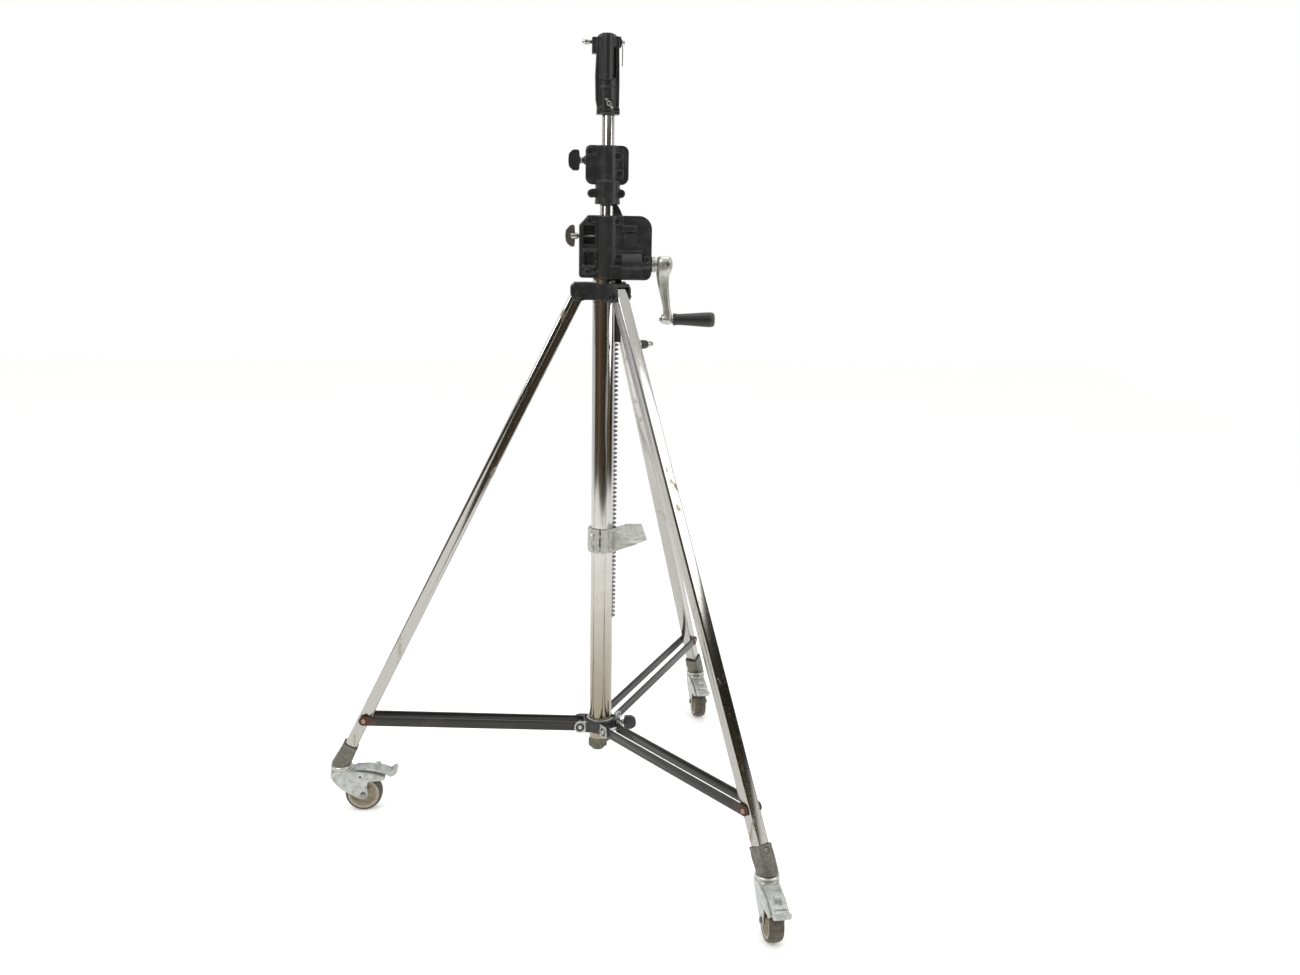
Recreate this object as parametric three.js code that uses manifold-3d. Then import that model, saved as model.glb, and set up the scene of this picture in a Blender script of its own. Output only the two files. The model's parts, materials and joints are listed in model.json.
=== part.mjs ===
// Crank-up lighting stand: three folding legs on braked casters, a slotted steel column, a first
// riser wound up by a crank, worm drive and toothed rack, and a second riser locked by hand.
// Millimetres, +Z up. The origin is on the floor under the column's axis; the crank is on the +X side.
import * as THREE from 'three';
import { mergeVertices } from 'three/addons/utils/BufferGeometryUtils.js';
import { ConvexGeometry } from 'three/addons/geometries/ConvexGeometry.js';
import Module from 'manifold-3d';

const wasm = await Module();
wasm.setup();

// ---------------------------------------------------------------- driving dimensions
const GAP = 0.3;                        // between pieces that touch
const ROUND = 20;                       // sides of a large round piece
const SMALL_ROUND = 12;                 // sides of a pin or a bolt

const COLUMN = { outer: 24.15, inner: 22.15, bottom: 160, top: 1190, slotHalf: 6.5, slotBottom: 400 };
const RISER_X = 4;                      // the risers stand off the column's centre, towards the rack
const RISER_1 = { outer: 15, inner: 13.2, bottom: 250, top: 1345 };
const RISER_2 = { outer: 12.5, inner: 10.7, bottom: 320, top: 1510 };

const RACK = { module: 3, back: 19.4, half: 5, bottom: 427, toothTop: 1298, top: 1330 };
const PINION = { teeth: 15, x: 49.5, z: 1236, shaft: 7 };
const WHEEL = { module: 2.5, teeth: 25, yNear: -22.3, yFar: -10.8, clearance: 1.5 };
const WORM_PITCH_R = 17.5;
const WORM_Z = PINION.z - WHEEL.module * WHEEL.teeth / 2 - WORM_PITCH_R;
const WORM = { starts: 2, pitchRadius: WORM_PITCH_R, y: -16.5, z: WORM_Z, from: 33.5, to: 66 };
const CRANK_THROW = 109;
const PITCH_LINE = PINION.x - RACK.module * PINION.teeth / 2;      // where rack and pinion roll together

const GEARBOX = { left: -52, shoulder: -13, right: 92, bottom: 1156, top: 1282, half: 29, flangeHalf: 16 };
const COLLAR = { bottom: 1303, step: 1349, top: 1416, left: -40, right: 45 };
const SOCKET = { x: 1, bottom: 1474, top: 1622, floor: 1528, bore: 14.3, pinZ: 1608 };

const LEG = {
  side: 26, wall: 2, corner: 4, pivotR: 54.9, pivotZ: 1124.9, tilt: 26.56,
  above: 11, length: 1118, pinAt: 1019.7,                              // along the tube, from its pivot
};
const LEG_AZIMUTHS = [180, 300, 60];    // degrees about +Z
const HUB = { pivotR: 45.3, pivotZ: 188.9, ring: 33 };
const STRUT = { length: 466.1, lift: 2.94, height: 20, near: 14, far: 19 };
const YOKE = { bottom: 1115, top: 1150, ring: 31, armEnd: 69, cheek: 17.8 };

const LOCK_Z = { gearbox: 1241, collar: 1387, socket: 1492, hub: HUB.pivotZ + 6 };
const SOCKET_SCREW_X = RISER_X - 1;
const HUB_SCREW_Y = -14;                // the hub's screw presses on the column beside the rack slot
const HUB_SCREW_X = Math.sqrt(COLUMN.outer ** 2 - (HUB_SCREW_Y + 4) ** 2) + GAP;

const STEM_R = 563.5;                   // from the column's axis to each caster's swivel axis
const CASTER_HEADINGS = [0, 273, 273];  // way each wheel trails, degrees about +Z
const CASTER = {
  wheelR: 40, trail: 46, tyreHalf: 14, plateIn: 16.5, plateOut: 19.5, cupR: 24, cupTop: 100, axleR: 4,
};

const STEP = { bottom: 586, top: 637, band: 31, split: -5 };

// ---------------------------------------------------------------- materials
function finish(color, roughness, metalness) {
  return new THREE.MeshStandardMaterial({ color, roughness, metalness });
}
const CHROME = () => finish(0xc9cbc9, 0.15, 1);
const BLACK_CASTING = () => finish(0x2d2e2e, 0.5, 0.1);
const BLACK_STEEL = () => finish(0x2b2a29, 0.45, 0.6);
const CAST_ALLOY = () => finish(0xb9b9ae, 0.5, 0.8);
const ZINC = () => finish(0xa9a79f, 0.4, 0.9);
const BRONZE = () => finish(0xa47a3c, 0.35, 1);
const STEEL = () => finish(0x8f8f8d, 0.35, 1);
const NYLON = () => finish(0xd8d5c8, 0.6, 0);
const RUBBER = () => finish(0x3a3935, 0.85, 0);
const WHEEL_PLASTIC = () => finish(0xb3a78f, 0.6, 0);
const PLUG_PLASTIC = () => finish(0x6f6d5c, 0.7, 0);

// ---------------------------------------------------------------- solids
const radians = THREE.MathUtils.degToRad;
const point = (x, y, z) => new THREE.Vector3(x, y, z);

// a closed geometry as a solid that can be joined and cut
function solid(geometry) {
  const bare = geometry.clone();
  bare.deleteAttribute('normal');
  bare.deleteAttribute('uv');
  const merged = mergeVertices(bare, 1e-4);
  const corners = [];
  for (let i = 0; i < merged.index.count; i += 3) {
    const [a, b, c] = [0, 1, 2].map((k) => merged.index.getX(i + k));
    if (a !== b && b !== c && a !== c) corners.push(a, b, c);
  }
  const vertProperties = new Float32Array(merged.attributes.position.array);
  const triVerts = new Uint32Array(corners);
  return new wasm.Manifold(new wasm.Mesh({ numProp: 3, vertProperties, triVerts }));
}

function geometryOf(body) {
  const { vertProperties, triVerts } = body.getMesh();
  const geometry = new THREE.BufferGeometry();
  geometry.setAttribute('position', new THREE.BufferAttribute(vertProperties, 3));
  geometry.setIndex(new THREE.BufferAttribute(triVerts, 1));
  geometry.computeVertexNormals();
  return geometry;
}

const join = (first, ...rest) => rest.reduce((whole, piece) => whole.add(piece), first);
const cut = (first, ...rest) => rest.reduce((whole, piece) => whole.subtract(piece), first);

const block = (x0, x1, y0, y1, z0, z1) => solid(new THREE.BoxGeometry(x1 - x0, y1 - y0, z1 - z0)
  .translate((x0 + x1) / 2, (y0 + y1) / 2, (z0 + z1) / 2));

// a cone or cylinder from one point to another
function cone(radiusFrom, radiusTo, from, to, sides = ROUND) {
  const along = to.clone().sub(from);
  const geometry = new THREE.CylinderGeometry(radiusTo, radiusFrom, along.length(), sides);
  const turn = new THREE.Quaternion().setFromUnitVectors(point(0, 1, 0), along.clone().normalize());
  const middle = from.clone().add(to).multiplyScalar(0.5);
  return solid(geometry.applyQuaternion(turn).translate(middle.x, middle.y, middle.z));
}
const rod = (radius, from, to, sides) => cone(radius, radius, from, to, sides);
const rodX = (radius, x0, x1, y, z, sides) => rod(radius, point(x0, y, z), point(x1, y, z), sides);
const rodY = (radius, y0, y1, x, z, sides) => rod(radius, point(x, y0, z), point(x, y1, z), sides);
const rodZ = (radius, z0, z1, x = 0, y = 0, sides = ROUND) => rod(radius, point(x, y, z0), point(x, y, z1),
  sides);

// an outline of [x, z] points, or a Shape, pushed out from y0 to y1
function prismY(outline, y0, y1, curveSegments = 6) {
  const shape = outline instanceof THREE.Shape ? outline
    : new THREE.Shape(outline.map(([x, z]) => new THREE.Vector2(x, z)));
  const geometry = new THREE.ExtrudeGeometry(shape, { depth: y1 - y0, bevelEnabled: false, curveSegments });
  return solid(geometry.rotateX(Math.PI / 2).translate(0, y1, 0));
}

// a profile of [radius, height] points, from axis to axis, turned about +Z
const turned = (profile, sides = ROUND) => solid(new THREE.LatheGeometry(
  profile.map(([r, z]) => new THREE.Vector2(r, z)), sides).rotateX(Math.PI / 2));

// the same profile turned about +Y instead, with a flat side downwards; radii are to the flats
function turnedY(profile, x, z, sides = ROUND) {
  const toCorner = 1 / Math.cos(Math.PI / sides);
  return solid(new THREE.LatheGeometry(profile.map(([r, y]) => new THREE.Vector2(r * toCorner, y)), sides,
    Math.PI / sides).translate(x, 0, z));
}

const hull = (points) => solid(new ConvexGeometry(points));

function circlePoints(radius, centre, axis, sides = 20) {
  const turn = new THREE.Quaternion().setFromUnitVectors(point(0, 0, 1), axis);
  return Array.from({ length: sides }, (_, i) => {
    const a = 2 * Math.PI * i / sides;
    return point(radius * Math.cos(a), radius * Math.sin(a), 0).applyQuaternion(turn).add(centre);
  });
}

function roundedRect(x0, x1, z0, z1, r) {
  const shape = new THREE.Shape();
  shape.moveTo(x0 + r, z0);
  shape.lineTo(x1 - r, z0);
  shape.absarc(x1 - r, z0 + r, r, -Math.PI / 2, 0);
  shape.lineTo(x1, z1 - r);
  shape.absarc(x1 - r, z1 - r, r, 0, Math.PI / 2);
  shape.lineTo(x0 + r, z1);
  shape.absarc(x0 + r, z1 - r, r, Math.PI / 2, Math.PI);
  shape.lineTo(x0, z0 + r);
  shape.absarc(x0 + r, z0 + r, r, Math.PI, 1.5 * Math.PI);
  return shape;
}

const stand = new THREE.Group();

function piece(name, shape, material, parent = stand) {
  const mesh = new THREE.Mesh(shape instanceof THREE.BufferGeometry ? shape : geometryOf(shape), material);
  mesh.name = name;
  parent.add(mesh);
  return mesh;
}

// ---------------------------------------------------------------- column
const rackChannel = (half, from, reach, z0, z1) => block(from, reach, -half, half, z0, z1);

function makeColumn() {
  const tube = cut(rodZ(COLUMN.outer, COLUMN.bottom, COLUMN.top),
    rodZ(COLUMN.inner, COLUMN.bottom - 1, COLUMN.top + 1),
    rackChannel(COLUMN.slotHalf, 10, 40, COLUMN.slotBottom, COLUMN.top + 1));
  piece('column_tube', tube, CHROME());

  const plug = turned([[0, 130], [14, 130], [19, 150], [23, 152], [23, COLUMN.bottom - GAP],
    [COLUMN.inner - GAP, COLUMN.bottom - GAP], [COLUMN.inner - GAP, 184], [0, 184]]);
  piece('column_end_plug', plug, PLUG_PLASTIC());
}

// the guard covers the rack where it leaves the gearbox and passes the yoke
function makeRackGuard() {
  const guard = cut(block(23.4, 33.5, -8.5, 8.5, 1030, 1169), block(23, 32, -7, 7, 1029, 1170),
    rodZ(COLUMN.outer + GAP, 1029, 1170));
  piece('rack_guard', guard, BLACK_CASTING());
}

// ---------------------------------------------------------------- leg yoke
function makeYoke() {
  const { bottom, top, ring, armEnd, cheek } = YOKE;
  const inner = LEG.side / 2 + 0.6;
  let body = join(rodZ(ring, bottom, top), block(15, 43, -15, 15, bottom + 4, top));
  for (const azimuth of LEG_AZIMUTHS) {
    const side = [[20, top], [armEnd - 8, top], [armEnd, top - 9], [armEnd, bottom + 8],
      [armEnd - 8, bottom - 1], [50, bottom - 3], [40, bottom], [20, bottom]];
    const arm = cut(prismY(side, -cheek, cheek), block(ring + 2, 90, -inner, inner, bottom - 10, top - 8),
      rodY(4.3, -30, 30, LEG.pivotR, LEG.pivotZ, SMALL_ROUND));
    body = body.add(arm.rotate([0, 0, azimuth]));
  }
  for (const azimuth of LEG_AZIMUTHS) {
    body = body.subtract(block(ring + 2, 90, -inner, inner, bottom - 10, top - 8).rotate([0, 0, azimuth]));
  }
  body = cut(body, rodZ(COLUMN.outer + GAP, bottom - 10, top + 1),
    rackChannel(8.9, 15, 33.9, bottom - 10, top + 1));
  piece('leg_yoke', body, BLACK_CASTING());
}

// ---------------------------------------------------------------- gearbox
function gearboxBody() {
  const { left, shoulder, right, bottom, top, half, flangeHalf } = GEARBOX;
  const housing = new THREE.Shape();
  housing.moveTo(shoulder, bottom + 3);
  housing.lineTo(20, bottom);
  housing.lineTo(right - 14, bottom);
  housing.absarc(right - 14, bottom + 14, 14, -Math.PI / 2, 0);
  housing.lineTo(right, top - 26);
  housing.absarc(right - 26, top - 26, 26, 0, Math.PI / 2);
  housing.lineTo(shoulder, top);
  const flange = [[left, bottom + 6], [left + 4, bottom + 3], [shoulder + 3, bottom + 3], [shoulder + 3, top],
    [left + 18, top], [left, top - 20]];
  const cheek = [[14, top - 1], [14, COLLAR.bottom - 0.5], [24, COLLAR.bottom - 0.5], [35, top - 1]];
  return join(
    prismY(housing, -half, half),
    prismY(flange, -flangeHalf, flangeHalf),
    prismY(cheek, -9.5, 9.5),
    rodZ(22, bottom + 2, top - 1, 10, -14),                            // bulge over riser and rack
    rodX(25, 30, 70, WORM.y, WORM.z),                                  // worm housing
    rodY(12, -half - 4, half + 4, PINION.x, PINION.z),             // gear shaft bosses
    block(31, 59, -half - 3, 0, 1252, 1263.5),                         // raised rib
  );
}

function gearboxCavities() {
  const wheelRadius = WHEEL.module * (WHEEL.teeth / 2 + 1) + WHEEL.clearance;
  const pinionRadius = RACK.module * (PINION.teeth / 2 + 1) + 1.5;
  const { left, right, bottom, top, half, flangeHalf } = GEARBOX;
  return [
    rodZ(COLUMN.outer + GAP, bottom - 1, COLUMN.top + 2),
    rodZ(RISER_1.outer + 0.5, COLUMN.top, top + 30, RISER_X),
    rodZ(19.8, 1255.5, 1274.5, RISER_X),                               // seat of the guide bush
    rackChannel(6, 14, 31, bottom - 1, top + 30),
    rackChannel(8.9, 20, 34, bottom - 1, 1170),                        // top end of the rack guard
    rodY(pinionRadius, -7, 7, PINION.x, PINION.z),
    rodY(wheelRadius, WHEEL.yNear - 1.5, WHEEL.yFar + 1.5, PINION.x, PINION.z),
    rodY(PINION.shaft + GAP, -half - 2, half + 1, PINION.x, PINION.z, SMALL_ROUND),
    rodX(21.5, 32.5, 70, WORM.y, WORM.z),
    rodX(6.3, 24, 33, WORM.y, WORM.z, SMALL_ROUND),
    rodX(10.5, 69, right + 5, WORM.y, WORM.z),                         // seat of the worm bush
    rodX(4.4, left - 1, 0, 0, LOCK_Z.gearbox, SMALL_ROUND),
    block(left + 8, -22, -flangeHalf - 1, -0.1, 1224, 1259),           // open pocket beside the screw
    block(left + 8, -24, -flangeHalf - 1, -9, 1176, 1216),
  ];
}

function makeGearbox() {
  const whole = cut(gearboxBody(), ...gearboxCavities());
  const far = 90;
  const front = whole.subtract(block(-far, far + 20, -GAP / 2, far, 1100, 1400));
  const rear = whole.subtract(block(-far, far + 20, -far, GAP / 2, 1100, 1400));
  piece('gearbox_front_cover', front, BLACK_CASTING());
  piece('gearbox_rear_cover', rear, BLACK_CASTING());

  const bush = cut(rodZ(19.5, 1256, 1274, RISER_X), rodZ(RISER_1.outer + GAP, 1255, 1275, RISER_X),
    rackChannel(5.6, 10, 30, 1255, 1275));
  piece('riser_guide_bush', bush, NYLON());
  piece('worm_bush', cut(rodX(10.2, 71, 91.5, WORM.y, WORM.z), rodX(8.3, 70, 92, WORM.y, WORM.z)), BRONZE());
}

// ---------------------------------------------------------------- rack, gears and worm
// one trapezium tooth after another along +Z; the tooth points towards +X
function makeRack() {
  const m = RACK.module;
  const root = PITCH_LINE - 1.25 * m;
  const tip = PITCH_LINE + m;
  const pitch = Math.PI * m;
  const halfTip = pitch / 4 - m * Math.tan(radians(20)) - 0.25;
  const halfRoot = pitch / 4 + 1.25 * m * Math.tan(radians(20)) - 0.25;
  const outline = [[RACK.back, RACK.top], [RACK.back, RACK.bottom]];
  // teeth are placed so that a gap faces the pinion's first tooth at its centre height
  const lowest = Math.ceil((RACK.bottom - PINION.z) / pitch) + 0.5;
  outline.push([root, RACK.bottom]);
  for (let n = lowest; PINION.z + n * pitch + halfRoot < RACK.toothTop; n += 1) {
    const z = PINION.z + n * pitch;
    outline.push([root, z - halfRoot], [tip, z - halfTip], [tip, z + halfTip], [root, z + halfRoot]);
  }
  outline.push([root, RACK.top]);
  piece('rack', prismY(outline, -RACK.half, RACK.half), STEEL());
}

const involute = (alpha) => Math.tan(alpha) - alpha;

// outline of a spur gear with involute flanks, thinned for running clearance; one tooth points along angle 0
function gearOutline(teeth, module, thin, pressure = radians(20)) {
  const pitchR = module * teeth / 2;
  const baseR = pitchR * Math.cos(pressure);
  const rootR = pitchR - 1.25 * module;
  const tipR = pitchR + module;
  const halfAtPitch = Math.PI / (2 * teeth) - thin / (2 * pitchR);
  const halfAt = (r) => halfAtPitch + involute(pressure) - involute(Math.acos(Math.min(1, baseR / r)));
  const startR = Math.max(baseR, rootR);
  const radii = [rootR, ...[0, 1, 2].map((k) => startR + (tipR - startR) * k / 2)];
  const points = [];
  for (let tooth = 0; tooth < teeth; tooth += 1) {
    const middle = 2 * Math.PI * tooth / teeth;
    const flank = radii.map((r) => [r, halfAt(Math.max(r, startR))]);
    for (const [r, a] of flank) points.push([r * Math.cos(middle - a), r * Math.sin(middle - a)]);
    for (const [r, a] of flank.reverse()) points.push([r * Math.cos(middle + a), r * Math.sin(middle + a)]);
  }
  return points;
}

function makeGears() {
  // pinion and its shaft, one turned and cut piece
  const at = (outline) => outline.map(([a, b]) => [PINION.x - a, PINION.z + b]);
  const shaft = rodY(PINION.shaft, -GEARBOX.half - 1.6, GEARBOX.half + 0.6, PINION.x, PINION.z, SMALL_ROUND);
  const toothing = prismY(at(gearOutline(PINION.teeth, RACK.module, 0.5)), -RACK.half, RACK.half);
  piece('pinion_shaft', join(toothing, shaft), STEEL());

  // wheel: its teeth lean by the worm's lead angle, so the outline turns a little from face to face
  const lead = WHEEL.module * WORM.starts / (2 * WORM.pitchRadius);
  const thickness = WHEEL.yFar - WHEEL.yNear;
  const pitchR = WHEEL.module * WHEEL.teeth / 2;
  const outline = gearOutline(WHEEL.teeth, WHEEL.module, 1.1);
  const shape = new THREE.Shape(outline.map(([a, b]) => new THREE.Vector2(a, b)));
  const toothed = new THREE.ExtrudeGeometry(shape, { depth: thickness, steps: 1, bevelEnabled: false });
  const position = toothed.attributes.position;
  for (let i = 0; i < position.count; i += 1) {
    const offset = position.getZ(i) - thickness / 2;
    const turn = -Math.PI / 2 + Math.PI / WHEEL.teeth - offset * lead / pitchR;
    const [x, y] = [position.getX(i), position.getY(i)];
    position.setXY(i, x * Math.cos(turn) - y * Math.sin(turn), x * Math.sin(turn) + y * Math.cos(turn));
  }
  toothed.rotateX(Math.PI / 2).translate(PINION.x, WHEEL.yFar, PINION.z);
  const holes = [0, 1, 2, 3].map((k) => {
    const a = radians(90 * k + 45);
    const [x, z] = [PINION.x + 20 * Math.cos(a), PINION.z + 20 * Math.sin(a)];
    return rodY(6, WHEEL.yNear - 1, WHEEL.yFar + 1, x, z, SMALL_ROUND);
  });
  piece('worm_wheel', cut(solid(toothed), ...holes,
    rodY(PINION.shaft + GAP, WHEEL.yNear - 1, WHEEL.yFar + 1, PINION.x, PINION.z, SMALL_ROUND)), BRONZE());
}

// left-hand two-start worm about +X: a trapezium swept along each helix, with a thread in the wheel's gap
function makeWorm() {
  const m = WHEEL.module;
  const leadLength = Math.PI * m * WORM.starts;
  const stepsPerTurn = 16;
  const turns = 1.5;
  const steps = turns * stepsPerTurn;
  const firstX = PINION.x - leadLength * turns / 2;
  const slope = Math.tan(radians(20));
  const thin = 0.35;
  const halfRoot = Math.PI * m / 4 + 1.6 * m * slope - thin;
  const halfTip = Math.PI * m / 4 - m * slope - thin;
  const [rootR, tipR] = [WORM.pitchRadius - 1.6 * m, WORM.pitchRadius + m];
  const section = [[rootR, -halfRoot], [tipR, -halfTip], [tipR, halfTip], [rootR, halfRoot]];
  let body = join(rodX(WORM.pitchRadius - 1.2 * m, WORM.from, WORM.to, WORM.y, WORM.z),
    rodX(6, 25.5, 40, WORM.y, WORM.z, SMALL_ROUND),
    rodX(8, 60, 126, WORM.y, WORM.z, SMALL_ROUND),
    rodX(15.5, 92.9, 103.4, WORM.y, WORM.z));
  for (let start = 0; start < WORM.starts; start += 1) {
    const vertices = [];
    const indices = [];
    for (let i = 0; i <= steps; i += 1) {
      const angle = -2 * Math.PI * (i / stepsPerTurn + start / WORM.starts);
      const x = firstX + leadLength * i / stepsPerTurn;
      for (const [r, along] of section) {
        vertices.push(x + along, WORM.y + r * Math.cos(angle), WORM.z + r * Math.sin(angle));
      }
    }
    for (let i = 0; i < steps; i += 1) {
      for (let k = 0; k < 4; k += 1) {
        const [a, b] = [4 * i + k, 4 * i + (k + 1) % 4];
        indices.push(a, b, a + 4, b, b + 4, a + 4);
      }
    }
    const last = 4 * steps;
    indices.push(0, 3, 2, 0, 2, 1, last, last + 1, last + 2, last, last + 2, last + 3);
    const thread = new THREE.BufferGeometry();
    thread.setAttribute('position', new THREE.Float32BufferAttribute(vertices, 3));
    thread.setIndex(indices);
    body = body.add(solid(thread));
  }
  piece('worm_shaft', body, STEEL());
}

// ---------------------------------------------------------------- crank
function makeCrank() {
  const { y, z } = WORM;
  const throwZ = z - CRANK_THROW;
  const round = (radius, x, height) => circlePoints(radius, point(x, y, height), point(1, 0, 0), 16);
  const boss = [...round(17.5, 104.5, z), ...round(15, 134, z)];
  const middle = [...round(10, 112, z - 60), ...round(10, 136, z - 60)];
  const end = [...round(9, 121, throwZ), ...round(9, 138, throwZ)];
  const arm = join(hull([...boss, ...middle]), hull([...middle, ...end]),
    rodX(6.5, 113, 122, y, throwZ, 6),                                  // nut of the grip's pin
    rodX(5, 137, 214, y, throwZ, SMALL_ROUND));                         // the grip's pin
  piece('crank_arm', cut(arm, rodX(8 + GAP, 104, 126.4, y, z, SMALL_ROUND)), CAST_ALLOY());

  const bore = 5.35;
  const profile = [[bore, 0], [11, 0], [12.5, 4], [12, 14], [13.5, 40], [15, 66], [14, 79], [9, 85], [0, 85],
    [0, 77.5], [bore, 77.5], [bore, 0]];
  const grip = new THREE.LatheGeometry(profile.map(([r, h]) => new THREE.Vector2(r, h)))
    .rotateZ(-Math.PI / 2).translate(138.5, y, throwZ);
  piece('crank_grip', solid(grip), RUBBER());
}

// ---------------------------------------------------------------- risers
function makeRisers() {
  const tube1 = cut(rodZ(RISER_1.outer, RISER_1.bottom, RISER_1.top, RISER_X),
    rodZ(RISER_1.inner, RISER_1.bottom - 1, RISER_1.top + 1, RISER_X));
  piece('riser_1_tube', tube1, CHROME());
  const foot = cut(rodZ(COLUMN.inner - GAP, RISER_1.bottom + 2, RISER_1.bottom + 42),
    rodZ(RISER_1.outer + GAP, RISER_1.bottom, RISER_1.bottom + 50, RISER_X));
  piece('riser_1_foot_bush', foot, NYLON());
  const tube2 = cut(rodZ(RISER_2.outer, RISER_2.bottom, RISER_2.top, RISER_X),
    rodZ(RISER_2.inner, RISER_2.bottom - 1, RISER_2.top + 1, RISER_X));
  piece('riser_2_tube', tube2, CHROME());
}

function makeCollar() {
  const { bottom, step, top, left, right } = COLLAR;
  const body = join(
    rodZ(26, bottom, step + 1, RISER_X),
    block(-34, 42, -5, 5, bottom + 8, bottom + 34),
    rodY(8, -13, 13, -27.5, bottom + 21, SMALL_ROUND),                 // clamp bolt bosses
    rodY(8, -13, 13, 35.5, bottom + 21, SMALL_ROUND),
    rodZ(22, step, top, RISER_X),
    prismY(roundedRect(left, right, step - 6, top, 13), -8, 8),
    rodX(8, left - 4, left + 4, 0, LOCK_Z.collar, SMALL_ROUND));
  piece('riser_collar', cut(body,
    rodZ(RISER_1.outer + GAP, bottom - 1, RISER_1.top + GAP, RISER_X),
    rodZ(RISER_2.outer + GAP, RISER_1.top, top + 1, RISER_X),
    block(15, 30.5, -RACK.half - GAP, RACK.half + GAP, bottom - 1, RACK.top + GAP),
    rodX(4.4, left - 6, 0, 0, LOCK_Z.collar, SMALL_ROUND)), BLACK_CASTING());
}

function makeSocket() {
  const { x, bottom, top, floor, bore, pinZ } = SOCKET;
  const side = [[x - 18, bottom], [x + 23, bottom], [x + 23.7, floor], [x + 22, top - 6], [x + 22, top],
    [x - 22, top], [x - 24, floor + 20], [x - 23, bottom + 28]];
  const body = join(
    prismY(side, -12, 12),
    rodZ(21, bottom, top - 4, x),
    rodZ(12.6, floor + 9, top, x - 4, -15.5),                          // half-round boss at the front
    rodZ(12.6, floor + 9, top, x - 4, 15.5),
    block(x - 33, x - 15, -10, 10, top - 36, top - 6),                 // ear that carries the cross pin
    block(x + 14, x + 27, -9, 9, top - 26, top - 4),
    block(x - 4, x + 8, -26, -10, bottom + 8, bottom + 28));           // pad under the wing bolt
  piece('top_socket', cut(body,
    rodZ(bore, floor, top + 1, x),
    rodZ(RISER_2.outer + GAP, bottom - 1, RISER_2.top + GAP, RISER_X),
    rodX(4.4, -60, 60, 0, pinZ, SMALL_ROUND),
    rodY(3.4, -40, 0, SOCKET_SCREW_X, LOCK_Z.socket, SMALL_ROUND)), BLACK_CASTING());

  // a plain pin with a ball handle; drawn out towards -X it frees the bore
  const ball = solid(new THREE.SphereGeometry(6, 12, 8).translate(-43, 0, pinZ));
  piece('socket_cross_pin', join(rodX(4, -41, 36, 0, pinZ, SMALL_ROUND), ball), CHROME());
}

// ---------------------------------------------------------------- hand screws
// a screw along +X from its tip at the origin, with a collar and a two-winged head
function handScrew(shaftRadius, reach, wing, depth) {
  const start = reach + 4;
  const head = [[start, -wing * 0.32], [start, wing * 0.32], [start + depth * 0.12, wing * 0.5],
    [start + depth * 0.55, wing * 0.5], [start + depth, wing * 0.3], [start + depth, -wing * 0.3],
    [start + depth * 0.55, -wing * 0.5], [start + depth * 0.12, -wing * 0.5]];
  return join(rodX(shaftRadius, 0, start + depth * 0.6, 0, 0, SMALL_ROUND),
    rodX(shaftRadius * 1.7, reach, start + 1, 0, 0, SMALL_ROUND),
    prismY(head, -depth * 0.24, depth * 0.24));
}

function placeScrew(name, shape, material, tip, heading) {
  const mesh = piece(name, shape, material);
  mesh.position.copy(tip);
  mesh.rotation.z = radians(heading);
}

function makeHandScrews() {
  const atGearbox = point(RISER_X - RISER_1.outer - GAP, 0, LOCK_Z.gearbox);
  placeScrew('gearbox_lock_knob', handScrew(4, 45, 45, 20), CHROME(), atGearbox, 180);
  const atCollar = point(RISER_X - RISER_2.outer - GAP, 0, LOCK_Z.collar);
  placeScrew('collar_lock_knob', handScrew(4, 37.5, 40, 24), BLACK_CASTING(), atCollar, 180);
  const atSocket = point(SOCKET_SCREW_X, -RISER_2.outer - GAP, LOCK_Z.socket);
  placeScrew('socket_wing_bolt', handScrew(3, 14, 22, 10), CHROME(), atSocket, 270);
  const atHub = point(HUB_SCREW_X, HUB_SCREW_Y, LOCK_Z.hub);
  placeScrew('hub_lock_knob', handScrew(4, 24, 30, 28), BLACK_CASTING(), atHub, 0);
}

// ---------------------------------------------------------------- strut hub
function makeHub() {
  const { pivotR, pivotZ, ring } = HUB;
  const [ringBottom, ringTop] = [pivotZ - 13, pivotZ + 15];
  const screwBlock = block(20, 44, HUB_SCREW_Y - 6, HUB_SCREW_Y + 6, pivotZ - 4, ringTop);
  let body = join(rodZ(ring, ringBottom, ringTop), screwBlock);
  for (const azimuth of LEG_AZIMUTHS) {
    for (const side of [-1, 1]) {
      const middle = side * (STRUT.far + 2);
      const [near, far] = [middle - 1.5, middle + 1.5];
      const root = [[20, pivotZ - 13], [pivotR, pivotZ - 13], [pivotR, pivotZ + 13], [20, ringTop]];
      const ear = join(prismY(root, near, far), rodY(13, near, far, pivotR, pivotZ, SMALL_ROUND));
      body = body.add(ear.rotate([0, 0, azimuth]));
    }
    const pin = rodY(4, -STRUT.far - 5, STRUT.far + 5, pivotR, pivotZ, SMALL_ROUND);
    body = body.add(pin.rotate([0, 0, azimuth]));
  }
  piece('strut_hub', cut(body, rodZ(COLUMN.outer + 0.45, ringBottom - 5, ringTop + 5),
    rackChannel(COLUMN.slotHalf, 15, 31.5, ringBottom - 5, ringTop + 5),
    rodX(4.4, 15, 60, HUB_SCREW_Y, LOCK_Z.hub, SMALL_ROUND)), ZINC());
}

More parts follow.
